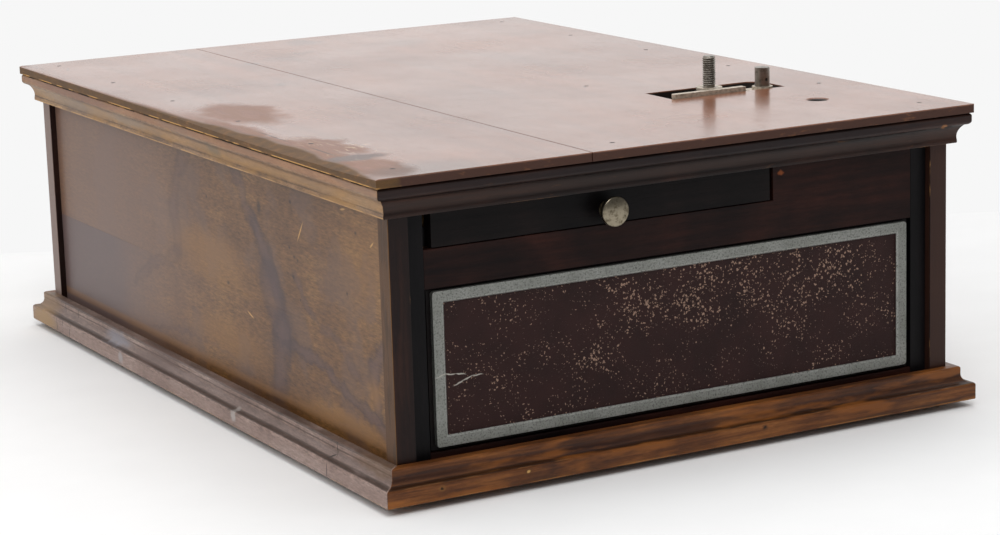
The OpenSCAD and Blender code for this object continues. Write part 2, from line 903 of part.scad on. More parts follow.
module cornice_left() {
    cornice(-90, case_d, case_w, side_recess);
}

module base_moulding(turn, run_l, run_d) {
    color(wood)
        rotate([0, 0, turn])
            moulding(run_l, run_d, base_proj, z_case, base_h)
                base_profile();
}

module base_front() {
    base_moulding(0, case_w, case_d);
}

module base_back() {
    base_moulding(180, case_w, case_d);
}

module base_right() {
    base_moulding(90, case_d, case_w);
}

module base_left() {
    base_moulding(-90, case_d, case_w);
}

// ---- Top ----

// Top board between two joints, with the pockets over its nails
module top_board(x0, x1) {
    y_edge = y_case + top_overhang;
    difference() {
        block([x0, -y_edge, z_top0], [x1, y_edge, z_top]);
        for (at = nails_at)
            if (at.x > x0 && at.x < x1)
                post_at(at, nail_d, z_top - nail_depth, z_top + past);
    }
}

// Outline of the lever's slot, with one round corner
module slot_outline() {
    high = pivot + [slot_right, slot_w - slot_front];
    difference() {
        translate(high - [slot_len, slot_w])
            square([slot_len, slot_w]);
        difference() {
            translate(high - slot_r * [1, 1])
                square(slot_r + past);
            translate(high - slot_r * [1, 1])
                circle(slot_r);
        }
    }
}

module top_board_left() {
    color(wood)
        top_board(-x_case - top_overhang, -top_joint_x - top_joint_gap / 2);
}

// Right-hand board, with the lever's slot, the countersunk hole and the bearing screws' holes
module top_board_right() {
    color(wood)
        difference() {
            top_board(-top_joint_x + top_joint_gap / 2, x_case + top_overhang);
            translate([0, 0, z_top0 - past])
                linear_extrude(top_t + 2 * past)
                    slot_outline();
            post_at(hole, hole_d, z_top0 - past, z_top + past);
            translate([hole.x, hole.y, z_top - hole_sink])
                cylinder(h = hole_sink, d1 = hole_d, d2 = hole_sink_d);
            for (at = bearing_screws_at)
                post_at(at, bearing_screw_d, z_top0 - past, z_top0 + bearing_screw_in);
        }
}

module top_battens() {
    color(pale_wood)
        for (y = [batten_front_y, batten_rear_y])
            block([-x_in, y - batten_w / 2, z_batten0], [x_in, y + batten_w / 2, z_top0]);
}

module nail_fillers() {
    color(pale_wood)
        for (at = nails_at)
            post_at(at, nail_d, z_top - nail_depth, z_top);
}

// ---- Upper drawer ----

module upper_drawer_front() {
    inner = -y_post;
    color(dark_wood)
        difference() {
            block([drawer_x0, y_face, drawer_z0], [drawer_x1, inner, drawer_z1]);
            block([drawer_box_x0, inner - drawer_housing, drawer_z0 - past],
                [drawer_box_x0 + drawer_side_t, inner + past, drawer_side_z1]);
            block([drawer_x1 - drawer_side_t, inner - drawer_housing, drawer_z0 - past],
                [drawer_x1 + past, inner + past, drawer_side_z1]);
            block([drawer_box_x0, inner - drawer_groove, drawer_floor_z],
                [drawer_x1, inner + past, drawer_floor_z + drawer_floor_t]);
            translate([knob_pos.x, inner + past, knob_pos.y])
                rotate([90, 0, 0])
                    cylinder(h = post_w + past, d = knob_screw_d);
        }
}

// Side of the upper drawer from x0, with the groove for its bottom from groove_x
module upper_drawer_side(x0, groove_x) {
    color(pale_wood)
        difference() {
            block([x0, -y_post - drawer_housing, drawer_side_z0],
                [x0 + drawer_side_t, drawer_end, drawer_side_z1]);
            block([groove_x, -y_post - drawer_housing - past, drawer_floor_z],
                [groove_x + drawer_groove, drawer_end + past, drawer_floor_z + drawer_floor_t]);
        }
}

module upper_drawer_side_left() {
    upper_drawer_side(drawer_box_x0, drawer_box_x0 + drawer_side_t - drawer_groove);
}

module upper_drawer_side_right() {
    upper_drawer_side(drawer_x1 - drawer_side_t, drawer_x1 - drawer_side_t);
}

module upper_drawer_back() {
    color(pale_wood)
        block([drawer_box_x0 + drawer_side_t, drawer_end - drawer_side_t, drawer_floor_z + drawer_floor_t],
            [drawer_x1 - drawer_side_t, drawer_end, drawer_side_z1]);
}

module upper_drawer_bottom() {
    reach = drawer_side_t - drawer_groove;
    color(pale_wood)
        block([drawer_box_x0 + reach, -y_post - drawer_groove, drawer_floor_z],
            [drawer_x1 - reach, drawer_end, drawer_floor_z + drawer_floor_t]);
}

// Half profile of the knob, from its foot outwards
module knob_profile() {
    face_r = knob_d / 2 - knob_edge_r;
    head_z = knob_len - knob_dome - knob_rim_t;
    flare = min(head_z - knob_foot_t, face_r - knob_neck_d / 2 - knob_edge_r);
    dome_r = (face_r * face_r + knob_dome * knob_dome) / (2 * knob_dome);
    square([knob_foot_d / 2, knob_foot_t]);
    square([knob_neck_d / 2, head_z + past]);
    difference() {
        translate([0, head_z - flare])
            square([knob_neck_d / 2 + flare, flare]);
        translate([knob_neck_d / 2 + flare, head_z - flare])
            circle(flare);
    }
    translate([0, head_z])
        square([face_r, knob_rim_t]);
    translate([0, head_z + knob_edge_r])
        square([knob_d / 2, knob_rim_t - 2 * knob_edge_r]);
    for (z = [head_z + knob_edge_r, head_z + knob_rim_t - knob_edge_r])
        translate([face_r, z])
            circle(knob_edge_r);
    intersection() {
        translate([0, knob_len - dome_r])
            circle(dome_r);
        translate([0, head_z + knob_rim_t])
            square([face_r, knob_dome + past]);
    }
}

module knob() {
    color(nickel)
        translate([knob_pos.x, y_face, knob_pos.y])
            rotate([90, 0, 0])
                difference() {
                    rotate_extrude()
                        knob_profile();
                    translate([0, 0, -past])
                        cylinder(h = knob_screw_in + slide_gap + past, d = knob_screw_d);
                }
}

module knob_screw() {
    color(iron)
        translate([knob_pos.x, -y_post, knob_pos.y])
            rotate([90, 0, 0]) {
                cylinder(h = post_w - frame_recess + knob_screw_in, d = knob_screw_d);
                translate([0, 0, -knob_screw_head_h])
                    cylinder(h = knob_screw_head_h, d = knob_screw_head_d);
            }
}

// ---- Till ----

// The screws that hold the cast plate, or the holes for them
module plate_screw_shapes() {
    for (at = plate_screws_at)
        translate([at.x, till_y1, at.y])
            rotate([90, 0, 0])
                screw(plate_screw_d, plate_screw_head_d, till_front_t + plate_screw_in);
}

module till_front() {
    color(dark_wood)
        difference() {
            block([-till_front_x, till_y0, till_z0], [till_front_x, till_y1, till_z1]);
            for (side = [-1, 1])
                on_side(side)
                    block([till_in, till_y1 - till_housing, till_side_z0],
                        [till_x, till_y1 + past, till_side_z1]);
            plate_screw_shapes();
        }
}

module till_side(side) {
    color(pale_wood)
        on_side(side)
            difference() {
                block([till_in, till_y1 - till_housing, till_side_z0], [till_x, till_end, till_side_z1]);
                block([till_in - past, till_y1, till_floor_z0],
                    [till_in + till_groove, till_end + past, till_floor_z]);
            }
}

module till_side_left() {
    till_side(-1);
}

module till_side_right() {
    till_side(1);
}

module till_back() {
    color(pale_wood)
        block([-till_in, till_end - till_back_t, till_floor_z], [till_in, till_end, till_side_z1 - till_back_drop]);
}

module till_bottom() {
    color(pale_wood)
        block([-till_in - till_groove, till_y1, till_floor_z0], [till_in + till_groove, till_end, till_floor_z]);
}

// Room inside the plate's border: straight walls with a mitred bevel round the mouth
module plate_field() {
    x = plate_x - border_side;
    z0 = plate_z0 + border_under;
    z1 = plate_z1 - border_over;
    mouth = field_bevel + past;
    block([-x, plate_y - past, z0], [x, plate_y + field_depth, z1]);
    intersection() {
        translate([0, 0, plate_z0])
            linear_extrude(plate_z1 - plate_z0)
                polygon([
                    [-x, plate_y + field_bevel], [x, plate_y + field_bevel],
                    [x + mouth, plate_y - past], [-x - mouth, plate_y - past]
                ]);
        rotate([90, 0, 90])
            linear_extrude(2 * plate_x, center = true)
                polygon([
                    [plate_y + field_bevel, z0], [plate_y + field_bevel, z1],
                    [plate_y - past, z1 + mouth], [plate_y - past, z0 - mouth]
                ]);
    }
}

module cast_plate() {
    color(cast_metal)
        difference() {
            upright(plate_y, till_y0)
                round_rect([-plate_x, plate_z0], [plate_x, plate_z1], plate_r);
            plate_field();
            plate_screw_shapes();
        }
}

module plate_screws() {
    color(iron)
        plate_screw_shapes();
}

// Wooden block with a row of coin bowls
module coin_block() {
    top = till_floor_z + coin_h;
    color(pale_wood)
        difference() {
            block([-till_in, till_y1, till_floor_z], [till_in, coin_end, top]);
            for (i = [0:bowl_count - 1])
                translate([(i - (bowl_count - 1) / 2) * tray_pitch,
                    till_y1 + coin_d / 2, top - bowl_depth + bowl_r])
                    sphere(bowl_r);
        }
}

// The dividers between the bill compartments, which reach into housings in the rails
module divider_shapes() {
    for (i = [1:bowl_count - 1])
        translate([(i - bowl_count / 2) * tray_pitch, 0, 0])
            block([-divider_t / 2, bill_start - divider_housing, till_floor_z],
                [divider_t / 2, bill_end + divider_housing, till_floor_z + bill_rail_h - divider_drop]);
}

module bill_rails() {
    color(pale_wood)
        difference() {
            for (y = [coin_end, bill_end])
                block([-till_in, y, till_floor_z], [till_in, y + bill_rail_t, till_floor_z + bill_rail_h]);
            divider_shapes();
        }
}

module bill_dividers() {
    color(pale_wood)
        divider_shapes();
}

// Bent plate on the till's right side, whose tab the dog stops
module striker() {
    color(iron) {
        block([tab_x, tab_y, till_side_z1], [till_x, tab_y + striker_len, z_striker]);
        block([tab_x, tab_y, z_striker], [till_x - striker_clear, tab_y + striker_tab_t, z_striker + striker_tab_h]);
    }
}

// ---- Lever and latch ----

// Two discs joined by their outer tangents
module belt(a, ra, b, rb) {
    turn = atan2(b.y - a.y, b.x - a.x);
    lean = acos((ra - rb) / norm(b - a));
    translate(a)
        circle(ra);
    translate(b)
        circle(rb);
    polygon([
        a + ra * [cos(turn + lean), sin(turn + lean)], a + ra * [cos(turn - lean), sin(turn - lean)],
        b + rb * [cos(turn - lean), sin(turn - lean)], b + rb * [cos(turn + lean), sin(turn + lean)]
    ]);
}

// Outline of the lever's web
module lever_web() {
    difference() {
        union() {
            belt(stud, lever_pad_d / 2, pivot, lever_hub_d / 2);
            translate(pivot - [web_far, lever_hub_d / 2])
                square([web_far, web_d]);
        }
        translate(pivot - [web_hole_x, 0])
            circle(d = web_hole_d);
    }
}

// Outline of the bar along the web's front edge, with a round free end
module lever_bar() {
    translate(pivot - [bar_far - bar_t / 2, lever_hub_d / 2])
        square([bar_far - bar_t / 2 - bar_near, bar_t]);
    translate(pivot - [bar_far - bar_t / 2, lever_hub_d / 2 - bar_t / 2])
        circle(bar_t / 2);
}

module lever_arm() {
    color(nickel)
        difference() {
            union() {
                translate([0, 0, z_lever]) {
                    linear_extrude(lever_t)
                        lever_web();
                    linear_extrude(bar_h)
                        lever_bar();
                }
                post_at(pivot, boss_d, z_top0 + slide_gap, z_top + boss_rise);
            }
            post_at(pivot, shaft_d, z_top0 - past, z_top + boss_rise + past);
            post_at(stud, shank_d, z_lever - past, z_web + past);
        }
}

module stud() {
    color(iron) {
        post_at(stud, stud_foot_d, z_lever - stud_foot_h, z_lever);
        post_at(stud, shank_d, z_lever, z_thread);
        post_at(stud, stud_d, z_thread, z_top + stud_rise);
    }
}

module stud_collar() {
    color(nickel)
        difference() {
            union() {
                post_at(stud, collar_d, z_web, z_collar);
                post_at(stud, flange_d, z_collar, z_thread);
            }
            post_at(stud, shank_d, z_web - past, z_thread + past);
        }
}

// Shaft that ends over the lever in a slightly thinner pin
module latch_shaft() {
    z_pin = z_top + boss_rise;
    color(iron)
        difference() {
            union() {
                post_at(pivot, shaft_d, z_shaft0, z_pin);
                post_at(pivot, shaft_d - pin_step, z_pin, z_top + pin_rise);
            }
            translate([pivot.x, pivot.y, z_top + pin_rise - cross_hole_drop])
                rotate([90, 0, 0])
                    cylinder(h = shaft_d + 2 * past, d = cross_hole_d, center = true);
            translate([pivot.x, pivot.y, z_dog_pin])
                rotate([0, 90, 0])
                    cylinder(h = shaft_d + 2 * past, d = dog_pin_d, center = true);
            translate([pivot.x, pivot.y, z_spring + spring_turns * spring_pitch])
                rotate([0, 90, -spring_bend])
                    cylinder(h = shaft_d, d = wire_d + 2 * slide_gap);
        }
}

// Dog: a hub and an arm whose toe is round about the shaft's axis
module latch_dog() {
    color(iron)
        difference() {
            translate([pivot.x, pivot.y, z_dog])
                linear_extrude(dog_t)
                    difference() {
                        union() {
                            circle(d = dog_hub_d);
                            intersection() {
                                circle(dog_r);
                                union() {
                                    translate([-dog_arm_w / 2, 0])
                                        square([dog_arm_w, dog_r]);
                                    translate([-dog_arm_w / 2, dog_r - dog_toe_len])
                                        square([dog_arm_w / 2 + dog_hub_d / 2, dog_toe_len]);
                                }
                            }
                        }
                        circle(d = shaft_d);
                    }
            dog_pin_shape();
        }
}

module dog_pin_shape() {
    translate([pivot.x, pivot.y, z_dog_pin])
        rotate([0, 90, 0])
            cylinder(h = dog_hub_d, d = dog_pin_d, center = true);
}

module dog_pin() {
    color(iron)
        dog_pin_shape();
}

// Coil spring round the shaft: a straight leg against the bush's peg, the turns, and an end
// that bends into the shaft
module lever_spring() {
    steps = 18;
    count = steps * spring_turns;
    rise = spring_turns * spring_pitch;
    turns = [for (i = [0:count])
        [spring_r * cos(i * 360 / steps), -spring_r * sin(i * 360 / steps), i * spring_pitch / steps]];
    path = concat(
        [[spring_r, spring_leg, 0]],
        turns,
        [for (r = [shaft_d / 2, spring_end_r]) [r * cos(spring_bend), -r * sin(spring_bend), rise]]);
    color(iron)
        translate([pivot.x, pivot.y, z_spring])
            wire(path, wire_d / 2);
}

module bearing_plate() {
    color(iron)
        difference() {
            block([bearing_x1 - bearing_len, bearing_y0, z_top0 - bearing_t],
                [bearing_x1, bearing_y0 + bearing_w, z_top0]);
            post_at(pivot, shaft_d + 2 * run_gap, z_top0 - bearing_t - past, z_top0 + past);
            bearing_screws();
        }
}

module bearing_screws() {
    color(iron)
        for (at = bearing_screws_at)
            translate([at.x, at.y, z_top0 - bearing_t])
                screw(bearing_screw_d, bearing_screw_head_d, bearing_t + bearing_screw_in);
}

// Flanged bush for the shaft in the shelf, with a peg for the spring's leg
module shelf_bush() {
    peg_x = spring_r + wire_d / 2 + peg_d / 2 + slide_gap;
    color(iron)
        difference() {
            union() {
                post_at(pivot, bush_d, z_shelf0 - bush_under, z_shelf);
                post_at(pivot, bush_flange_d, z_shelf, z_flange);
                post_at(pivot + [peg_x, spring_leg - peg_d], peg_d, z_flange, z_spring + wire_d);
            }
            post_at(pivot, shaft_d + 2 * run_gap, z_shelf0 - bush_under - past, z_flange + past);
        }
}

// ---- Nodes ----

post_front_left();
post_front_right();
post_rear_left();
post_rear_right();
left_side_upper_board();
left_side_lower_board();
right_side_upper_board();
right_side_lower_board();
back_panel();
bottom_board();
divider_shelf();
partition();
front_stile_left();
front_stile_right();
header_board();
bottom_rail();
top_board_left();
top_board_right();
top_battens();
nail_fillers();
cornice_front();
cornice_back();
cornice_left();
cornice_right();
base_front();
base_back();
base_left();
base_right();
base_glides();
till_runners();
upper_drawer_guide();
drawer_stops();
bearing_plate();
bearing_screws();
shelf_bush();
upper_drawer_front();
upper_drawer_side_left();
upper_drawer_side_right();
upper_drawer_back();
upper_drawer_bottom();
knob();
knob_screw();
till_front();
till_side_left();
till_side_right();
till_back();
till_bottom();
cast_plate();
plate_screws();
coin_block();
bill_rails();
bill_dividers();
striker();
lever_arm();
stud();
stud_collar();
latch_shaft();
latch_dog();
dog_pin();
lever_spring();
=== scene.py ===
# Ticket register: a mahogany counter cabinet with two drawers, a cast front plate and a
# lever in its top. Metres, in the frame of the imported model: front faces -Y, +Z is up.
import json
import math

import bpy
from mathutils import Matrix, Vector

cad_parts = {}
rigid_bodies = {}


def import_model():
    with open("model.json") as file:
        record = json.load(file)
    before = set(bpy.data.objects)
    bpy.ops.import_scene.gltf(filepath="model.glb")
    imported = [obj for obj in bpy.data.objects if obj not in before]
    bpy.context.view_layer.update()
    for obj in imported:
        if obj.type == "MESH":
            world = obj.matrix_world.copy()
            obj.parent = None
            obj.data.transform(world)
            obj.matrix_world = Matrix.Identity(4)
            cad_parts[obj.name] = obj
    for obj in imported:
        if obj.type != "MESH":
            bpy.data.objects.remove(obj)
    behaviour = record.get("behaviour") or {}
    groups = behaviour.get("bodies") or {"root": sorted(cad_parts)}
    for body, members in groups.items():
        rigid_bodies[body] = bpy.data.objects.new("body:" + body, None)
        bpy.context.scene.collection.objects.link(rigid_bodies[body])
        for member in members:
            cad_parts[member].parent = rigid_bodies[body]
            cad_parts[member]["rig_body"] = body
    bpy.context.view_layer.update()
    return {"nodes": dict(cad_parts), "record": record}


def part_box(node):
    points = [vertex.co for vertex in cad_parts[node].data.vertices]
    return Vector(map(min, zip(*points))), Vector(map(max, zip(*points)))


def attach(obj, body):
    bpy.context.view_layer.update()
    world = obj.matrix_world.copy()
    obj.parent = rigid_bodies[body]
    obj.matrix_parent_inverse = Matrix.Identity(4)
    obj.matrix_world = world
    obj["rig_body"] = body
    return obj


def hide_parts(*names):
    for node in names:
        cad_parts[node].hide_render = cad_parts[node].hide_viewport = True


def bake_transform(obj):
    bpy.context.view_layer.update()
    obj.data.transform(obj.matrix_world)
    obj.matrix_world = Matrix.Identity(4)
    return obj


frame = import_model()
print("frame loaded:", len(frame["nodes"]), "pieces")


# ---- Small tools ----

def toLinear(hexColour):
    parts = [int(hexColour[i:i + 2], 16) / 255 for i in (1, 3, 5)]
    return [p / 12.92 if p <= 0.04045 else ((p + 0.055) / 1.055) ** 2.4 for p in parts] + [1]


def addNode(tree, kind, wires=None, out=0, **settings):
    # a node with its settings and links; gives back one of its outputs
    node = tree.nodes.new(kind)
    for name, value in settings.items():
        setattr(node, name, value)
    for socket, value in (wires or {}).items():
        if isinstance(value, bpy.types.NodeSocket):
            tree.links.new(value, node.inputs[socket])
        elif isinstance(value, str):
            node.inputs[socket].default_value = toLinear(value)
        else:
            node.inputs[socket].default_value = value
    return node.outputs[out] if node.outputs else node


def combine(tree, operation, *values):
    # one Math node on up to two values
    return addNode(tree, "ShaderNodeMath", dict(enumerate(values)), operation=operation)


def noiseOf(tree, vector, size, detail, roughness=0.5, distortion=0.0, out=0):
    # a cloudy noise whose largest features are about the given size in mm
    return addNode(tree, "ShaderNodeTexNoise", {
        "Vector": vector, "Scale": 1 / size, "Detail": detail, "Roughness": roughness,
        "Distortion": distortion}, out=out)


def mixColour(tree, share, under, over, **settings):
    # one colour laid over another, by a share from 0 to 1
    return addNode(tree, "ShaderNodeMix", {0: share, 6: under, 7: over}, out=2,
                   data_type="RGBA", **settings)


def mixNumber(tree, share, under, over):
    # one number replaced by another, by a share from 0 to 1
    return addNode(tree, "ShaderNodeMix", {0: share, 2: under, 3: over})


def spread(tree, value, start=(0, 1), end=(0, 1), kind="LINEAR"):
    # the value, carried from one range to another and held inside it
    return addNode(tree, "ShaderNodeMapRange", {
        "Value": value, "From Min": start[0], "From Max": start[1],
        "To Min": end[0], "To Max": end[1]}, interpolation_type=kind)


def axesOf(tree, vector):
    # the X, Y and Z of a vector
    split = tree.nodes.new("ShaderNodeSeparateXYZ")
    tree.links.new(vector, split.inputs[0])
    return split.outputs


def newMaterial(name):
    # an empty material with its surface shader, and the place on the piece in millimetres
    material = bpy.data.materials.new(name)
    material.use_nodes = True
    tree = material.node_tree
    tree.nodes.clear()
    surface = tree.nodes.new("ShaderNodeBsdfPrincipled")
    addNode(tree, "ShaderNodeOutputMaterial", {"Surface": surface.outputs[0]})
    coords = addNode(tree, "ShaderNodeTexCoord", out="Object")
    place = addNode(tree, "ShaderNodeVectorMath", {0: coords, "Scale": 1000}, operation="SCALE")
    return material, tree, surface, place


def finish(tree, surface, **sockets):
    # links or sets the surface shader's own sockets, written as words_joined_like_this
    for name, value in sockets.items():
        socket = surface.inputs[name.replace("_", " ")]
        if isinstance(value, bpy.types.NodeSocket):
            tree.links.new(value, socket)
        else:
            socket.default_value = value


def pickOnly(obj):
    bpy.ops.object.select_all(action="DESELECT")
    obj.select_set(True)
    bpy.context.view_layer.objects.active = obj


def applyModifier(obj, kind, **settings):
    modifier = obj.modifiers.new(kind.title(), kind)
    for name, value in settings.items():
        setattr(modifier, name, value)
    pickOnly(obj)
    bpy.ops.object.modifier_apply(modifier=modifier.name)


def settle(obj, node, smoothDegrees=35, twist=None):
    # puts the place into the mesh, smooths it, and lets it stand for its CAD node;
    # a piece given a twist is left on no body, and the twist's bodies and points are not used
    pickOnly(obj)
    bpy.ops.object.transform_apply(location=True, rotation=True, scale=True)
    bpy.ops.object.shade_smooth_by_angle(angle=math.radians(smoothDegrees))
    applyModifier(obj, "WEIGHTED_NORMAL", keep_sharp=True, weight=60)
    if twist:
        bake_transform(obj)
    else:
        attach(obj, frame["nodes"][node]["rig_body"])
    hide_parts(node)
    return obj


# ---- Camera, light and floor ----

cameraView = {"azimuth": 28.639, "elevation": 12.205, "roll": -1.796,
              "place": (-1.0914, -2.0528, 0.5848), "lens": 99.82, "shift": (0.0054, 0.0009)}


def addCamera(view):
    az, el, roll = (math.radians(view[k]) for k in ("azimuth", "elevation", "roll"))
    ahead = Vector((math.sin(az) * math.cos(el), math.cos(az) * math.cos(el), -math.sin(el)))
    level = Vector((math.cos(az), -math.sin(az), 0))
    over = level.cross(ahead)
    right = level * math.cos(roll) + over * math.sin(roll)
    up = over * math.cos(roll) - level * math.sin(roll)
    bpy.ops.object.camera_add()
    camera = bpy.context.object
    camera.name = "camera"
    turn = Matrix((right, up, -ahead)).transposed().to_4x4()
    camera.matrix_world = Matrix.Translation(view["place"]) @ turn
    camera.data.sensor_fit = "HORIZONTAL"
    camera.data.sensor_width = 36
    camera.data.lens = view["lens"]
    camera.data.shift_x, camera.data.shift_y = view["shift"]
    camera.data.clip_end = 100
    bpy.context.scene.camera = camera


lamps = {
    # name: place, aim, size, watts
    "front": ((-1.1, -2.5, 3.6), (0, 0, 0.1), 2.3, 56),
    "left": ((-3.2, 0.1, 2.6), (0, 0, 0.1), 2.2, 29.5),
    "over": ((0.4, 0.5, 3.6), (0, 0, 0.2), 3.2, 43),
}


def addLamps():
    for name, (place, aim, size, watts) in lamps.items():
        bpy.ops.object.light_add(type="AREA", location=place)
        lamp = bpy.context.object
        lamp.name = "lamp_" + name
        lamp.data.shape = "DISK"
        lamp.data.size = size
        lamp.data.energy = watts
        lamp.rotation_euler = (Vector(aim) - Vector(place)).to_track_quat("-Z", "Y").to_euler()


room = {
    # strength that mirror rays meet behind and in front, and that others meet low and high
    "behind": 1.0, "front": 0.1, "low": 0.12, "high": 0.64,
}


def addRoom():
    # white where the camera and mirror rays look behind the object, dimmer towards the front
    world = bpy.data.worlds.new("studio")
    bpy.context.scene.world = world
    world.use_nodes = True
    tree = world.node_tree
    tree.nodes.clear()
    path = tree.nodes.new("ShaderNodeLightPath")
    way = addNode(tree, "ShaderNodeTexCoord", out="Generated")
    split = axesOf(tree, way)
    mirrored = spread(tree, split["Y"], (-0.5, 0.35), (room["front"], room["behind"]),
                      kind="SMOOTHSTEP")
    light = spread(tree, split["Z"], (0.0, 0.7), (room["low"], room["high"]))
    glossy = mixNumber(tree, path.outputs["Is Glossy Ray"], light, mirrored)
    strength = mixNumber(tree, path.outputs["Is Camera Ray"], glossy, 1.0)
    back = addNode(tree, "ShaderNodeBackground", {"Color": "#ffffff", "Strength": strength})
    addNode(tree, "ShaderNodeOutputWorld", {"Surface": back})


paper = {
    # colours of the sheet, and where in mm along its way the bend begins and ends
    "fibre": "#f7f7f7", "near": "#f2f2f2", "far": "#f7f7f7",
    "bend": (536, 560), "way": (0.432, 0.902, 0),
}


def addFloor(paper):
    # a seamless paper sweep, matt white, a touch greyer past its bend
    bpy.ops.mesh.primitive_plane_add(size=24, location=(0, 4, 0))
    floor = bpy.context.object
    floor.name = "floor"
    pickOnly(floor)
    bpy.ops.object.transform_apply(location=True)
    material, tree, surface, place = newMaterial("seamless paper")
    fibre = noiseOf(tree, place, 60, 3)
    away = addNode(tree, "ShaderNodeVectorMath", {0: place, 1: paper["way"]}, out="Value",
                   operation="DOT_PRODUCT")
    past = spread(tree, away, paper["bend"], kind="SMOOTHSTEP")
    shade = mixColour(tree, fibre, paper["fibre"], paper["near"])
    finish(tree, surface, Base_Color=shade, Roughness=0.9, Specular_IOR_Level=0.1)
    # past the bend the camera sees the paper in its own even tone
    path = tree.nodes.new("ShaderNodeLightPath")
    seen = combine(tree, "MULTIPLY", past, path.outputs["Is Camera Ray"])
    glow = addNode(tree, "ShaderNodeEmission", {"Color": paper["far"], "Strength": 1.0})
    mixed = addNode(tree, "ShaderNodeMixShader", {0: seen, 1: surface.outputs[0], 2: glow})
    sheet = next(node for node in tree.nodes if node.bl_idname == "ShaderNodeOutputMaterial")
    tree.links.new(mixed, sheet.inputs["Surface"])
    floor.data.materials.append(material)


addCamera(cameraView)
addLamps()
addRoom()
addFloor(paper)
bpy.context.scene.view_settings.view_transform = "Standard"
print("camera, lamps and floor placed")


# ---- Wood ----

everywhere = 9000  # mm, a half size that reaches past the object
through = 900      # mm, the same for a stroke through one piece
sidePlane = 244.6  # mm from the middle, just inside the posts' outer faces


def drawnOut(tree, place, grain, times):
    # the place, stretched along the grain by a number of times
    return addNode(tree, "ShaderNodeMapping", {"Vector": place, "Scale": [
        1 / times if letter == grain else 1 for letter in "XYZ"]})


def grainOf(tree, place, look):
    # figure of one sort of wood: a colour, a height, and how open the pores are
    along = drawnOut(tree, place, look["grain"], look.get("stretch", 14))
    streak = noiseOf(tree, along, look["streak"], 7, 0.62, 0.35)
    cloud = noiseOf(tree, place, look.get("cloud", 90), 2, distortion=0.6)
    fine = noiseOf(tree, along, look.get("pore", 1.3), 3, 0.7)
    pores = spread(tree, fine, (0.56, 0.72))
    mixed = combine(tree, "ADD", streak, cloud)
    level = spread(tree, mixed, (look.get("low", 0.72), look.get("high", 1.28)))
    ramp = tree.nodes.new("ShaderNodeValToRGB")
    tree.links.new(level, ramp.inputs[0])
    ramp.color_ramp.elements[0].color = toLinear(look["deep"])
    ramp.color_ramp.elements[1].color = toLinear(look["light"])
    ramp.color_ramp.elements.new(0.5).color = toLinear(look["mid"])
    shaded = combine(tree, "MULTIPLY", pores, look.get("poreDark", 0.35))
    colour = mixColour(tree, shaded, ramp.outputs[0], look["deep"])
    grit = noiseOf(tree, drawnOut(tree, place, look["grain"], 5), 1.7, 3, 0.75)
    tone = spread(tree, grit, (0.3, 0.7), (1 - look.get("grit", 0.22), 1 + look.get("grit", 0.22)))
    colour = mixColour(tree, 1.0, colour, tone, blend_type="MULTIPLY")
    return colour, pores, streak


def woodBump(tree, pores, streak, depth):
    height = combine(tree, "SUBTRACT", streak, pores)
    return addNode(tree, "ShaderNodeBump", {"Height": height, "Strength": 0.35, "Distance": depth})


def softSpot(tree, place, centre, half, turn=(0, 0, 0), edge=0.5):
    # 1 in the middle of a turned ellipsoid of the given half sizes in mm, 0 outside it
    local = addNode(tree, "ShaderNodeMapping", {
        "Vector": place, "Location": centre, "Rotation": turn, "Scale": half},
        vector_type="TEXTURE")
    far = addNode(tree, "ShaderNodeVectorMath", {0: local}, out="Value", operation="LENGTH")
    return spread(tree, far, (1 - edge, 1 + edge), (1, 0), kind="SMOOTHSTEP")


def strokeMask(tree, place, plane, points, width, edge=0.5):
    # a soft line through points of one plane, width in mm, through the whole depth of the piece
    first, second = ["XYZ".index(letter) for letter in plane]
    third = 3 - first - second
    mask = None
    for start, end in zip(points, points[1:]):
        centre, half, turn = [0, 0, 0], [through] * 3, [0, 0, 0]
        centre[first], centre[second] = (start[0] + end[0]) / 2, (start[1] + end[1]) / 2
        half[first] = math.dist(start, end) / 2 + width / 2
        half[second] = width / 2
        angle = math.atan2(end[1] - start[1], end[0] - start[0])
        turn[third] = -angle if plane == "XZ" else angle
        piece = softSpot(tree, place, centre, half, turn, edge)
        mask = piece if mask is None else combine(tree, "MAXIMUM", mask, piece)
    return mask


def layered(tree, colour, layers):
    # coats of colour laid over one another: each is a mask, a colour and a strength
    for mask, over, strength in layers:
        share = addNode(tree, "ShaderNodeMath", {0: mask, 1: strength}, operation="MULTIPLY",
                        use_clamp=True)
        colour = mixColour(tree, share, colour, over)
    return colour


def wander(tree, place, scale, amount):
    # the same place, pushed about by a slow noise, so that spots lose their outline
    noise = noiseOf(tree, place, scale, 3, out="Color")
    centred = addNode(tree, "ShaderNodeVectorMath", {0: noise, 1: (0.5, 0.5, 0.5)},
                      operation="SUBTRACT")
    pushed = addNode(tree, "ShaderNodeVectorMath", {0: centred, "Scale": amount}, operation="SCALE")
    return addNode(tree, "ShaderNodeVectorMath", {0: place, 1: pushed}, operation="ADD")


def brokenBy(tree, mask, vector, size, start):
    # the same mask, left out where a noise of the given size in mm lies under the start value
    noise = noiseOf(tree, vector, size, 4)
    kept = spread(tree, noise, (start, start + 0.1))
    return combine(tree, "MULTIPLY", mask, kept)


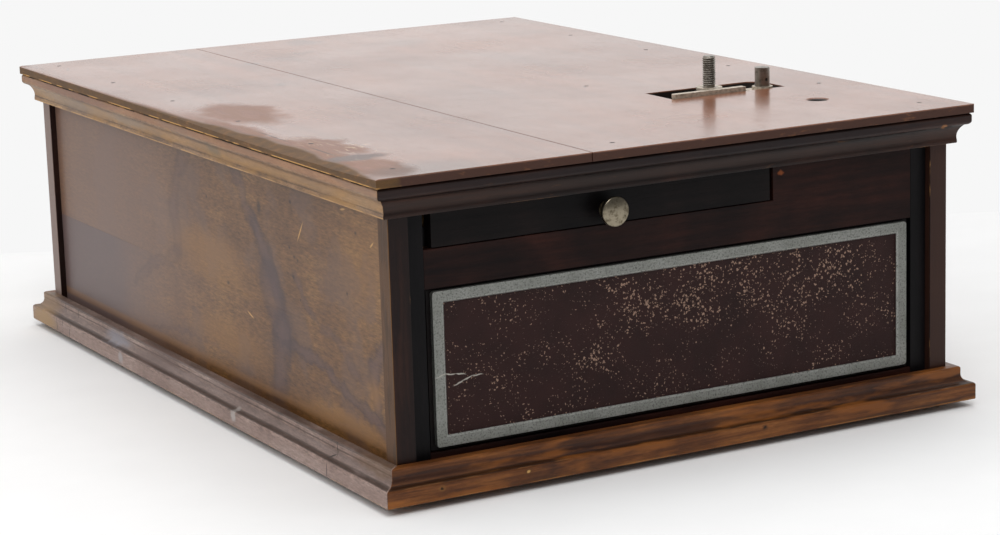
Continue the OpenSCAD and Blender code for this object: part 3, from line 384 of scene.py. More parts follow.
def stainedMahogany(name, look):
    # mahogany under a shellac stain: warm streaks below a soft gloss, bare wood where rubbed
    material, tree, surface, place = newMaterial(name)
    colour, pores, streak = grainOf(tree, place, look)
    wavy = wander(tree, place, 40, look.get("wave", 2.2))
    drawn = drawnOut(tree, place, look["grain"], look.get("rubLong", 5))
    # bands along a moulding's profile: painted shade in its creases, and lighter and darker tone on
    # its rounds and coves
    coats = [(softSpot(tree, wavy, (0, 0, z), (everywhere, everywhere, half), edge=0.45), over,
              amount) for z, half, over, amount in look.get("bands", [])]
    coats += [(brokenBy(tree, 1.0, drawn, size, start), over, amount)
              for size, start, over, amount in look.get("clouds", [])]
    if "rub" in look:
        # stain worn off in ragged dashes that run with the grain
        patch = noiseOf(tree, drawn, look.get("rubSize", 4), 6, 0.7)
        bare = spread(tree, patch, (0.7 - look["rub"], 0.8 - look["rub"]))
        coats.append((bare, look["bare"], look.get("rubDepth", 0.6)))
    ragged = wander(tree, place, 9, 7)
    coats += [(softSpot(tree, ragged, centre, half), over, amount)
              for centre, half, over, amount in look.get("spots", [])]
    # broken lines along the edges: pale arrises, a painted highlight on the cornice's lower arris
    # and painted shade in the gap under the top
    coats += [(brokenBy(tree, softSpot(tree, place, (0, 0, z), (everywhere, everywhere, half),
                                       edge=0.4), drawn, 5, start), over, amount)
              for z, half, start, over, amount in look.get("lines", [])]
    if "sideFace" in look:
        # the face turned to the side has faded like the boards beside it, greyer at the rear
        split = axesOf(tree, place)
        out = combine(tree, "ABSOLUTE", split["X"])
        faded = combine(tree, "GREATER_THAN", out, sidePlane)
        rear = combine(tree, "MULTIPLY", faded, combine(tree, "GREATER_THAN", split["Y"], 0.0))
        streaky = brokenBy(tree, faded, drawn, 7, 0.5)
        coats += [(faded, look["sideFace"][0], 0.9), (streaky, look["deep"], 0.35),
                  (rear, look["sideFace"][1], 0.85)]
    coats += [(strokeMask(tree, wander(tree, place, 6, 1.6), "YZ", points, 1.1, 0.3), "#150d08",
               0.9) for points in look.get("cracks", [])]
    for x, y, z, over, halo in look.get("nails", []):
        near = wander(tree, place, 3, 2.4)
        coats += [(softSpot(tree, near, (x, y, z), (2.6, 4, 2.2)), halo, 0.7),
                  (softSpot(tree, near, (x, y, z), (1.2, 4, 1.1)), over, 0.9)]
    finish(tree, surface, Base_Color=layered(tree, colour, coats), Roughness=look["roughness"],
           IOR=1.5, Specular_IOR_Level=look.get("specular", 0.5),
           Normal=woodBump(tree, pores, streak, look.get("depth", 0.0002)))
    return material


frontLook = {"grain": "X", "deep": "#0e0708", "mid": "#21100d", "light": "#341913", "streak": 9,
             "roughness": 0.45, "specular": 0.12, "stretch": 18,
             "spots": [((92, -342, 204.7), (2.2, 9, 1.5), "#8a4a26", 0.9)]}
# the stiles: the front wood painted darker, as painted shade on the strips beside the posts
shadedStileLook = {**frontLook, "grain": "Z", "deep": "#070608", "mid": "#0d0b0d", "light": "#151113",
             "spots": []}
drawerLook = {**frontLook, "deep": "#070506", "mid": "#100b0b", "light": "#1c1312", "spots": []}
postLook = {"grain": "Z", "deep": "#0f0606", "mid": "#1d0e0b", "light": "#301911", "streak": 6,
            "roughness": 0.42, "specular": 0.2, "sideFace": ("#593c23", "#8a7770"),
            "spots": [((237, -348, 120), (13, 9, 200), "#39231b", 0.75)]}
corniceLook = {"grain": "X", "deep": "#0e0706", "mid": "#21110c", "light": "#3a2015",
               "streak": 5, "roughness": 0.4, "specular": 0.25, "bare": "#6a4526", "rub": 0.05,
               "stretch": 24, "wave": 1.2,
               # bands: painted shade in the crease under the nose (226.4), a lighter cove below it
               # and a darker nose above
               "bands": [(226.4, 0.8, "#090505", 0.8), (220, 3.4, "#3a241a", 0.35),
                         (231, 2.6, "#1c1114", 0.5)],
               "spots": [((233, -362, 227.5), (2.6, 9, 1.4), "#94602f", 0.9)]}
baseLook = {**corniceLook, "deep": "#28150c", "mid": "#623819", "light": "#905a2a", "rub": 0.06,
            "bare": "#8a5a2c", "spots": [], "streak": 4, "low": 0.66, "high": 1.34,
            # bands: painted shade in the crease at the step's top and in the cove above it
            "bands": [(19.8, 1.0, "#0c0705", 0.75), (24, 3.0, "#21181a", 0.6)],
            "clouds": [(26, 0.54, "#2a1a17", 0.6), (13, 0.54, "#985a22", 0.5)],
            "lines": [(6.7, 0.5, 0.44, "#a8763c", 0.6), (18.9, 0.4, 0.5, "#8a5c30", 0.4)],
            "nails": [(-218, -365.5, 14.7, "#0e0906", "#7a5224"),
                      (-147, -365.5, 15.3, "#c79b5c", "#5a3818"),
                      (60, -365.5, 15.0, "#1a110b", "#4a2c14")]}
sideCorniceLook = {**corniceLook, "grain": "Y", "deep": "#513a2a", "mid": "#8a6b50",
                   "light": "#b8946c", "bare": "#bd9862", "roughness": 0.45, "rub": 0.04,
                   "grit": 0.45, "low": 0.55, "high": 1.45,
                   # bands: painted shade in the creases at 226.4 and 216, golden tone on the cove
                   # and the nose
                   "bands": [(226.4, 0.8, "#1a110b", 0.9), (220.5, 3.4, "#ad8350", 0.55),
                             (232, 2.4, "#a5785a", 0.6), (216, 0.5, "#3a2c1c", 0.5)],
                   "clouds": [(30, 0.52, "#7b6c62", 0.35), (17, 0.56, "#ab7f45", 0.6)],
                   "spots": [((-259, 250, 221), (40, 90, 5), "#8f8378", 0.4),
                             ((-259, 120, 222), (40, 40, 5), "#84817c", 0.4),
                             ((-259, 240, 232), (40, 110, 4), "#7c5f55", 0.6),
                             ((-259, -60, 222), (40, 12, 6), "#56584f", 0.5)],
                   # lines: a painted highlight along the lower arris, and painted shade in the gap
                   # under the top board
                   "lines": [(212.7, 0.5, 0.42, "#c99a5e", 0.8),
                             (235.2, 0.7, 0.4, "#0f0906", 0.95)]}
sideBaseLook = {**sideCorniceLook, "deep": "#5a4740", "mid": "#8e776d", "light": "#ad9990",
                "bare": "#a5866a", "rub": 0.03,
                # bands: painted shade in the creases at the step, under the top round and under the
                # side board, lighter and greyer tone between
                "bands": [(19.8, 0.9, "#241812", 0.8), (27.3, 0.6, "#2a1c14", 0.6),
                          (23, 2.6, "#655651", 0.6), (12, 4, "#967f78", 0.4),
                          (31.6, 0.8, "#1f140e", 0.7)],
                "clouds": [(34, 0.54, "#6f5c56", 0.5), (16, 0.6, "#978580", 0.4)],
                "spots": [((-262, 336, 12), (40, 30, 8), "#a07f52", 0.8),
                          ((-256, 340, 26), (40, 28, 7), "#8f7250", 0.6),
                          ((-256, 168, 25), (40, 26, 5), "#8d8b93", 0.7),
                          ((-262, 145, 13), (40, 5, 5), "#a7a3a4", 0.7),
                          ((-262, -96, 15), (40, 4, 5), "#b3aca8", 0.8),
                          ((-256, -340, 28), (40, 40, 5), "#6b5038", 0.6)],
                "lines": [(6.6, 0.4, 0.5, "#a98757", 0.6)],
                "cracks": [[(265.2, 33), (266.8, 24)], [(286.6, 19), (287.4, 14)],
                           [(268.6, 15), (270.4, 5)], [(-267.8, 33), (-270, 22)],
                           [(-266.9, 17), (-265.8, 6)], [(-262, 20), (-268, 23)],
                           [(302, 19.5), (301, 6)], [(300, 33), (298, 24)]]}
bareLook = {"grain": "Y", "deep": "#8a6a45", "mid": "#a5845a", "light": "#bb9a6d", "streak": 8,
            "roughness": 0.62, "specular": 0.3, "depth": 0.0003, "grit": 0.12}
turnedLook = {**bareLook, "grain": "X", "deep": "#9a7a4e", "mid": "#b8935f", "light": "#caa874",
              "roughness": 0.4}


def rubbedEdge(look, bare, rub):
    # the same wood where an edge has worn: mostly bare, in dashes
    return {**look, "bands": [], "clouds": [], "spots": [], "lines": [], "cracks": [], "nails": [],
            "bare": bare, "rub": rub, "rubLong": 9, "rubSize": 5, "rubDepth": 0.85}


wood = {
    "front": stainedMahogany("mahogany, dark stained, front frame", frontLook),
    "stile": stainedMahogany("mahogany front, painted shade on stiles", shadedStileLook),
    "drawer": stainedMahogany("mahogany, black stained, drawer front", drawerLook),
    "post": stainedMahogany("mahogany, dark stained, posts", postLook),
    "cornice": stainedMahogany("mahogany cornice, dark stained", corniceLook),
    "base": stainedMahogany("mahogany base, stain rubbed through", baseLook),
    "sideCornice": stainedMahogany("mahogany cornice, faded stain", sideCorniceLook),
    "sideBase": stainedMahogany("mahogany base, faded grey", sideBaseLook),
    "bareY": stainedMahogany("poplar, bare, grain front to back", bareLook),
    "bareX": stainedMahogany("poplar, bare, grain across", {**bareLook, "grain": "X"}),
    "turned": stainedMahogany("birch, turned and waxed", turnedLook),
    # the guide's front end, seen in the gap beside the drawer, is painted near black as painted
    # shade in that gap
    "guide": stainedMahogany("poplar strip, painted shade at front end", {**bareLook, "spots": [
        ((-219, -334, 191), (40, 14, 40), "#0b0809", 1.0)]}),
}
edgeWood = {
    "post": stainedMahogany("mahogany post, rubbed edge", rubbedEdge(
        {**postLook, "sideFace": ("#6f4d2a", "#7c6a64")}, "#b58a58", 0.1)),
    "cornice": stainedMahogany("mahogany cornice, rubbed edge", rubbedEdge(
        corniceLook, "#7a5632", 0.13)),
    "base": stainedMahogany("mahogany base, rubbed edge", rubbedEdge(baseLook, "#94632f", 0.15)),
    "sideCornice": stainedMahogany("mahogany cornice, faded and rubbed edge", rubbedEdge(
        sideCorniceLook, "#b8925a", 0.13)),
    "sideBase": stainedMahogany("mahogany base, faded and rubbed edge", rubbedEdge(
        sideBaseLook, "#a08565", 0.12)),
}


topLook = {"grain": "Y", "deep": "#73452f", "mid": "#86553d", "light": "#97634a", "streak": 14,
           "cloud": 220, "poreDark": 0.35, "stretch": 20, "grit": 0.26}
topMarks = {
    # places on the top in mm: rubbed patches, a grey-blue spot, smudges and short scratches
    "patches": [((-252, -180), (17, 170)), ((-226, -218), (17, 46)), ((-214, -30), (30, 60)),
                ((-240, -310), (26, 44))],
    "haired": ((-222, -225), (26, 62)),
    "greySpot": ((-232, -274), (24, 11)),
    "smudges": [((78, 268), (24, 24), 0.25), ((10, 331), (14, 17), 0.4),
                ((-50, 238), (16, 20), 0.28), ((-25, 261), (9, 9), 0.35),
                ((-87, 228), (7, 8), 0.55), ((-121, 96), (7, 9), 0.55),
                ((-98, 208), (7, 32), 0.22), ((210, 248), (30, 8), 0.18),
                ((-216, -345), (40, 22), 0.5)],
    "scratches": [[(236, 86), (240, 96)], [(231, -200), (234, -192)], [(70, -93), (74, -84)],
                  [(-233, 172), (-238, 182)], [(-230, 318), (-236, 302)], [(10, -276), (22, -277)],
                  [(-16, -268), (-4, -270)], [(-240, -262), (-239, -214)],
                  [(-241, -180), (-240, -122)]],
    # in mm: the heights between which an edge fades into the face and into its lowest arris, where
    # the worn side begins, and the half sizes within which an edge is a cut in the top, painted near
    # black as shade
    "edgeZ": (241.8, 242.7), "arrisZ": (236.4, 237.2), "wornX": (-244, -240),
    "inside": (230.0, 350.0),
}


def topVarnish(look, marks):
    # mahogany boards under old brushed varnish: mirror-like at a low angle, scuffed at the left
    material, tree, surface, place = newMaterial("mahogany, brushed varnish")
    colour, pores, streak = grainOf(tree, place, look)
    roamed = wander(tree, wander(tree, place, 38, 44), 8, 9)
    scuff = None
    for (x, y), (halfX, halfY) in marks["patches"]:
        patch = softSpot(tree, roamed, (x, y, 240), (halfX, halfY, 90), edge=0.3)
        scuff = patch if scuff is None else combine(tree, "MAXIMUM", scuff, patch)
    (x, y), (halfX, halfY) = marks["greySpot"]
    greySpot = softSpot(tree, wander(tree, place, 9, 16), (x, y, 240), (halfX, halfY, 90), edge=0.4)
    # rubbing: pale hair scratches in all directions, only inside the patches
    hairs = None
    for turn in (0.5, 1.9):
        turned = addNode(tree, "ShaderNodeMapping", {
            "Vector": wander(tree, place, 30, 14), "Rotation": (0, 0, turn),
            "Scale": (1, 0.09, 1)})
        thin = addNode(tree, "ShaderNodeTexVoronoi", {"Vector": turned, "Scale": 1 / 7.5},
                       feature="DISTANCE_TO_EDGE")
        line = spread(tree, thin, (0.0, 0.035), (1, 0))
        hairs = line if hairs is None else combine(tree, "MAXIMUM", hairs, line)
    broken = noiseOf(tree, place, 14, 2)
    some = spread(tree, broken, (0.5, 0.6))
    hairs = combine(tree, "MULTIPLY", hairs, some)
    (x, y), (halfX, halfY) = marks["haired"]
    patch = softSpot(tree, roamed, (x, y, 240), (halfX, halfY, 90), edge=0.6)
    hairs = combine(tree, "MULTIPLY", hairs, patch)
    smudges = [(softSpot(tree, roamed, (x, y, 240), (halfX, halfY, 90), edge=0.6), "#3c2a22",
                amount) for (x, y), (halfX, halfY), amount in marks["smudges"]]
    cuts = [(strokeMask(tree, place, "XY", points, 1.6), "#2a1a14", 0.8)
            for points in marks["scratches"]]
    dashes = brokenBy(tree, scuff, addNode(tree, "ShaderNodeMapping", {
        "Vector": place, "Scale": (1, 0.25, 1)}), 7, 0.46)
    colour = layered(tree, colour, [
        (scuff, "#744a34", 0.45), (dashes, "#7c4c2a", 0.75), (greySpot, "#5a5555", 0.7),
        *smudges, *cuts, (hairs, "#dcc6a6", 0.55)])
    # the boards' edges, under the varnished face: dark, rubbed to orange in places
    split = axesOf(tree, place)
    edge = spread(tree, split["Z"], marks["edgeZ"], (1, 0))
    side = spread(tree, split["X"], marks["wornX"], (1, 0))
    flat = addNode(tree, "ShaderNodeMapping", {"Vector": place, "Scale": (0.3, 0.3, 1)})
    rubbed = noiseOf(tree, flat, 4, 5, 0.7)
    spots = spread(tree, rubbed, (0.58, 0.72))
    low = spread(tree, split["Z"], marks["arrisZ"], (1, 0))
    arris = brokenBy(tree, combine(tree, "MULTIPLY", low, side), place, 22, 0.44)
    khaki = mixColour(tree, rubbed, "#291704", "#76501c")
    edgeColour = mixColour(tree, side, "#3f1e0d", khaki)
    # edges inside the top are the walls of its slot and holes: painted shade, near black
    reach = axesOf(tree, addNode(tree, "ShaderNodeVectorMath", {0: place}, operation="ABSOLUTE"))
    withinX = combine(tree, "LESS_THAN", reach["X"], marks["inside"][0])
    withinY = combine(tree, "LESS_THAN", reach["Y"], marks["inside"][1])
    cutWallShade = combine(tree, "MULTIPLY", withinX, withinY)
    edgeColour = layered(tree, edgeColour, [(spots, "#8c5a30", 0.55), (arris, "#d3a05c", 0.9),
                                            (cutWallShade, "#0c0706", 0.95)])
    colour = mixColour(tree, edge, colour, edgeColour)
    worn = combine(tree, "MAXIMUM", scuff, greySpot)
    worn = combine(tree, "MULTIPLY", worn, 0.55)
    worn = combine(tree, "MAXIMUM", worn, edge)
    haze = noiseOf(tree, place, 90, 3)
    sound = spread(tree, haze, (0.3, 0.7), (0.2, 0.29))
    gloss = mixNumber(tree, worn, sound, 0.65)
    coat = spread(tree, worn, (0, 1), (0.42, 0.0))
    finish(tree, surface, Base_Color=colour, Roughness=gloss, IOR=1.5, Coat_Weight=coat,
           Coat_Roughness=0.14, Normal=woodBump(tree, pores, streak, 0.0003))
    return material


sideLook = {"grain": "Y", "deep": "#553721", "mid": "#6c4a2b", "light": "#8a653a", "streak": 8,
            "cloud": 90, "stretch": 14, "poreDark": 0.5, "grit": 0.5, "low": 0.5, "high": 1.5}
sideMarks = {
    # places on the side boards in mm from the middle: Y along, Z up; each stroke with its
    # width and strength
    "strokes": [([(-66, 212), (-92, 181), (-106, 165)], 13, 0.5),
                ([(-106, 167), (-119, 152), (-133, 134), (-148, 114)], 17, 0.75),
                ([(-126, 124), (-136, 112), (-154, 92)], 30, 0.65),
                ([(-150, 96), (-145, 72), (-143, 52), (-137, 44)], 22, 0.7),
                ([(-160, 82), (-224, 79), (-244, 70), (-288, 58), (-326, 49)], 10, 0.7),
                ([(-205, 114), (-190, 126), (-177, 138)], 8, 0.45),
                ([(-219, 106), (-242, 102), (-265, 92), (-283, 81)], 7, 0.4),
                ([(-324, 116), (-315, 99), (-304, 90), (-306, 76), (-311, 62)], 11, 0.75),
                ([(30, 206), (48, 186), (61, 167), (60, 145), (54, 122)], 16, 0.3),
                ([(56, 120), (78, 106), (121, 98), (149, 80)], 10, 0.3),
                ([(-50, 49), (20, 52), (110, 46)], 3, 0.35)],
    "glows": [((-10, 130), (62, 16), 0.5), ((-45, 64), (60, 15), 0.45), ((-250, 42), (75, 6), 0.7),
              ((-300, 170), (40, 30), 0.3), ((-40, 112), (90, 6), 0.25), ((-305, 76), (9, 12), 0.6)],
    "specks": [((-115, 183), (3.6, 4.8)), ((-174, 196), (2.2, 1.6)), ((-177, 154), (2.4, 1.4)),
               ((-183, 152), (1.8, 1.4)), ((-169, 160), (1.6, 1.4)), ((-174, 138), (2.0, 1.6)),
               ((-48, 111), (2.4, 1.4)), ((-267, 142), (1.6, 1.3)), ((-285, 190), (1.8, 1.2)),
               ((-185, 122), (1.4, 1.2)), ((-12, 176), (1.5, 1.3))],
    "scratches": [[(-194, 182), (-185, 169)], [(-94, 91), (-85, 94)], [(-313, 187), (-309, 184)],
                  [(-268, 205), (-262, 204)]],
    # in Y, where the rear turns greyer and where the lower board turns greyer still; in Z, the
    # boards' joint, and the middle and half height of the line at the foot
    "rearY": (-60, 190), "lowerRearY": (70, 240), "joint": 108.0, "footZ": 37.5, "footHalf": 3,
}


def sideVarnish(look, marks):
    # two wide mahogany boards, grain front to back, golden with purple-grey swirls
    material, tree, surface, place = newMaterial("mahogany, figured side boards")
    colour, pores, streak = grainOf(tree, place, look)
    split = axesOf(tree, wander(tree, place, 80, 70))
    rear = spread(tree, split["Y"], marks["rearY"], kind="SMOOTHSTEP")
    height = axesOf(tree, place)
    lower = combine(tree, "GREATER_THAN", marks["joint"], height["Z"])
    farRear = spread(tree, split["Y"], marks["lowerRearY"], kind="SMOOTHSTEP")
    lowerRear = combine(tree, "MULTIPLY", lower, farRear)
    soft = wander(tree, wander(tree, place, 26, 22), 7, 6)
    figure = []
    for points, width, amount in marks["strokes"]:
        # each swirl is a soft stain with a thin darker rim
        stain = strokeMask(tree, soft, "YZ", points, width, 0.6)
        rim = combine(tree, "MULTIPLY", stain, combine(tree, "SUBTRACT", 1.0, stain))
        figure += [(stain, "#544144", amount * 0.8), (rim, "#281b20", amount * 1.9)]
    glows = [(softSpot(tree, soft, (-250, y, z), (60, halfY, halfZ), edge=0.7), "#8f6535", amount)
             for (y, z), (halfY, halfZ), amount in marks["glows"]]
    specks = [(softSpot(tree, place, (-250, y, z), (60, halfY, halfZ), edge=0.6), "#2a1c14", 0.75)
              for (y, z), (halfY, halfZ) in marks["specks"]]
    cuts = [(strokeMask(tree, place, "YZ", points, 1.5), "#d0a060", 0.8)
            for points in marks["scratches"]]
    mauve = brokenBy(tree, 1.0, wander(tree, place, 30, 30), 60, 0.5)
    foot = softSpot(tree, place, (0, 0, marks["footZ"]),
                    (everywhere, everywhere, marks["footHalf"]), edge=0.4)
    colour = layered(tree, colour, [
        (mauve, "#644d43", 0.5), (rear, "#7c6358", 0.68), (lowerRear, "#5f5254", 0.72), *figure,
        *glows, *specks, *cuts, (foot, "#8a6440", 0.5)])
    finish(tree, surface, Base_Color=colour, Roughness=0.38, IOR=1.5, Specular_IOR_Level=0.25,
           Coat_Weight=0.05, Coat_Roughness=0.25, Normal=woodBump(tree, pores, streak, 0.00015))
    return material


wood["top"] = topVarnish(topLook, topMarks)
wood["side"] = sideVarnish(sideLook, sideMarks)

# node: material, record slot, softened edge in mm
woodPieces = {
    "post_front_left": ("post", "dark_mahogany", 0.5),
    "post_front_right": ("post", "dark_mahogany", 0.5),
    "post_rear_left": ("post", "dark_mahogany", 0.5),
    "post_rear_right": ("post", "dark_mahogany", 0.5),
    "left_side_upper_board": ("side", "mahogany", 0.15),
    "left_side_lower_board": ("side", "mahogany", 0.15),
    "right_side_upper_board": ("side", "mahogany", 0.15),
    "right_side_lower_board": ("side", "mahogany", 0.15),
    "back_panel": ("bareX", "secondary_wood", 0.4),
    "bottom_board": ("bareY", "secondary_wood", 0.3),
    "divider_shelf": ("bareX", "secondary_wood", 0.3),
    "partition": ("bareY", "secondary_wood", 0.3),
    "front_stile_left": ("stile", "dark_mahogany", 0.4),
    "front_stile_right": ("stile", "dark_mahogany", 0.4),
    "header_board": ("front", "dark_mahogany", 0.4),
    "bottom_rail": ("front", "dark_mahogany", 0.4),
    "top_board_left": ("top", "mahogany", 1.2),
    "top_board_right": ("top", "mahogany", 1.2),
    "top_battens": ("bareX", "secondary_wood", 0.4),
    "cornice_front": ("cornice", "dark_mahogany", 0.5),
    "cornice_back": ("cornice", "dark_mahogany", 0.5),
    "cornice_left": ("sideCornice", "mahogany", 0.5),
    "cornice_right": ("sideCornice", "mahogany", 0.5),
    "base_front": ("base", "mahogany", 0.6),
    "base_back": ("base", "mahogany", 0.6),
    "base_left": ("sideBase", "mahogany", 0.6),
    "base_right": ("sideBase", "mahogany", 0.6),
    "till_runners": ("bareY", "secondary_wood", 0.3),
    "upper_drawer_guide": ("guide", "secondary_wood", 0.3),
    "drawer_stops": ("bareX", "secondary_wood", 0.3),
    "upper_drawer_front": ("drawer", "dark_mahogany", 0.4),
    "upper_drawer_side_left": ("bareY", "secondary_wood", 0.3),
    "upper_drawer_side_right": ("bareY", "secondary_wood", 0.3),
    "upper_drawer_back": ("bareX", "secondary_wood", 0.3),
    "upper_drawer_bottom": ("bareY", "secondary_wood", 0.2),
    "till_front": ("drawer", "dark_mahogany", 0.4),
    "till_side_left": ("bareY", "secondary_wood", 0.3),
    "till_side_right": ("bareY", "secondary_wood", 0.3),
    "till_back": ("bareX", "secondary_wood", 0.3),
    "till_bottom": ("bareY", "secondary_wood", 0.2),
    "bill_rails": ("turned", "secondary_wood", 0.3),
    "bill_dividers": ("turned", "secondary_wood", 0.2),
    "coin_block": ("turned", "secondary_wood", 0.3),
}


def pieceName(node):
    words = node.split("_")
    return words[0] + "".join(w.title() for w in words[1:])


def workedCopy(node):
    # the CAD piece as one clean shell of its own, free of its loose triangles
    source = frame["nodes"][node]
    obj = source.copy()
    obj.data = source.data.copy()
    obj.name = obj.data.name = pieceName(node)
    for key in [k for k in obj.keys() if k.startswith("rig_")]:
        del obj[key]
    obj.parent = None
    bpy.context.scene.collection.objects.link(obj)
    pickOnly(obj)
    bpy.ops.mesh.customdata_custom_splitnormals_clear()
    obj.data.materials.clear()
    bpy.ops.object.mode_set(mode="EDIT")
    bpy.ops.mesh.select_all(action="SELECT")
    bpy.ops.mesh.remove_doubles(threshold=0.000005)
    bpy.ops.mesh.dissolve_limited(angle_limit=math.radians(0.5))
    bpy.ops.mesh.normals_make_consistent(inside=False)
    bpy.ops.object.mode_set(mode="OBJECT")
    return obj


wornEdge = {
    # along the left board's outer edge: place in Y, how far in and how deep it is rubbed, in mm
    "board": (-260, 243), "split": 10,
    "steps": [(-363.5, 2, 0.6), (-344, 6, 1.4), (-322, 12, 2.0), (-292, 16, 2.7), (-264, 12, 2.4),
              (-238, 19, 3.0), (-208, 21, 3.3), (-180, 17, 3.0), (-151, 20, 3.1), (-118, 14, 2.6),
              (-84, 16, 2.4), (-50, 9, 2.0), (-10, 7, 1.6), (42, 8, 1.4), (92, 4, 1.0),
              (151, 5, 0.9), (222, 3, 0.6), (302, 4, 0.7), (363.5, 2, 0.5)],
}


def wearEdge(obj):
    # the arris is cut into steps, then each step is pushed in and down by its own amount
    left, top = wornEdge["board"]
    inner = left + wornEdge["split"]
    bpy.ops.object.mode_set(mode="EDIT")
    bpy.ops.mesh.select_mode(type="VERT")
    cuts = [((inner, 0, 0), (1, 0, 0))]
    cuts += [((0, y, 0), (0, 1, 0)) for y, across, deep in wornEdge["steps"][1:-1]]
    for point, way in cuts:
        bpy.ops.mesh.select_all(action="SELECT")
        bpy.ops.mesh.bisect(plane_co=[p / 1000 for p in point], plane_no=way)
    for y, across, deep in wornEdge["steps"]:
        for x, move in ((inner, (across - wornEdge["split"], 0, 0)), (left, (0, 0, -deep))):
            bpy.ops.mesh.select_all(action="DESELECT")
            bpy.ops.object.mode_set(mode="OBJECT")
            for vertex in obj.data.vertices:
                spot = vertex.co * 1000
                vertex.select = (spot - Vector((x, y, top))).length < 0.05
            bpy.ops.object.mode_set(mode="EDIT")
            bpy.ops.transform.translate(value=[m / 1000 for m in move])
    bpy.ops.object.mode_set(mode="OBJECT")


shaping = {"top_board_left": wearEdge}


def eased(node, width, material, edgeMaterial=None, segments=2, angle=32):
    # sharp edges taken off, as sandpaper or a casting leaves them
    obj = workedCopy(node)
    if node in shaping:
        shaping[node](obj)
    obj.data.materials.append(material)
    if edgeMaterial:
        obj.data.materials.append(edgeMaterial)
    applyModifier(obj, "BEVEL", width=width / 1000, segments=segments, limit_method="ANGLE",
                  angle_limit=math.radians(angle), use_clamp_overlap=True,
                  material=1 if edgeMaterial else -1)
    return obj


for node, (look, slotName, width) in woodPieces.items():
    piece = eased(node, width, wood[look], edgeWood.get(look))
    settle(piece, node)
print("wood pieces worked:", len(woodPieces))


# ---- Metal ----

def metal(name, look):
    # a worn metal surface: its own colour, broken by tarnish or grime in the low places
    material, tree, surface, place = newMaterial(name)
    patch = noiseOf(tree, place, look["patch"], 6, 0.7)
    grit = noiseOf(tree, place, look["grit"], 3, 0.8)
    dirt = spread(tree, patch, (0.45, 0.68), kind="SMOOTHSTEP")
    colour = mixColour(tree, dirt, look["clean"], look["dull"])
    rough = spread(tree, dirt, (0, 1), (look["roughness"], look["roughness"] + 0.2))
    bump = addNode(tree, "ShaderNodeBump", {"Height": grit, "Strength": look["bump"],
                                            "Distance": 0.0004})
    finish(tree, surface, Base_Color=colour, Roughness=rough, Metallic=look["metallic"],
           Normal=bump)
    return material


metals = {
    "steel": metal("steel, turned, age-dulled", {
        "clean": "#98928a", "dull": "#6b645a", "patch": 5, "grit": 0.9, "roughness": 0.32,
        "bump": 0.2, "metallic": 1.0}),
    "iron": metal("malleable iron casting, nickel worn off", {
        "clean": "#c9bcab", "dull": "#8f8475", "patch": 3.5, "grit": 1.1, "roughness": 0.42,
        "bump": 0.6, "metallic": 0.5}),
    "nickel": metal("brass knob, nickel plated, tarnished", {
        "clean": "#8f8674", "dull": "#5f5646", "patch": 4, "grit": 0.8, "roughness": 0.28,
        "bump": 0.15, "metallic": 1.0}),
    "spring": metal("spring wire, oil blued", {
        "clean": "#4a4d52", "dull": "#33302c", "patch": 4, "grit": 0.6, "roughness": 0.35,
        "bump": 0.1, "metallic": 1.0}),
}


plateMarks = {
    # in mm: the field's half sizes, middle height and plane; where chips crowd; a chip's cell
    "field": ((200.0, 48.75), 95.25, -343.0), "chipDense": ((60, 128), (120, 34)), "cell": 2.1,
    "scratches": [[(-209, 90), (-201, 91.5), (-192, 90), (-184, 89)],
                  [(-193, 82), (-186, 84), (-178, 86.5), (-170, 87)]],
}


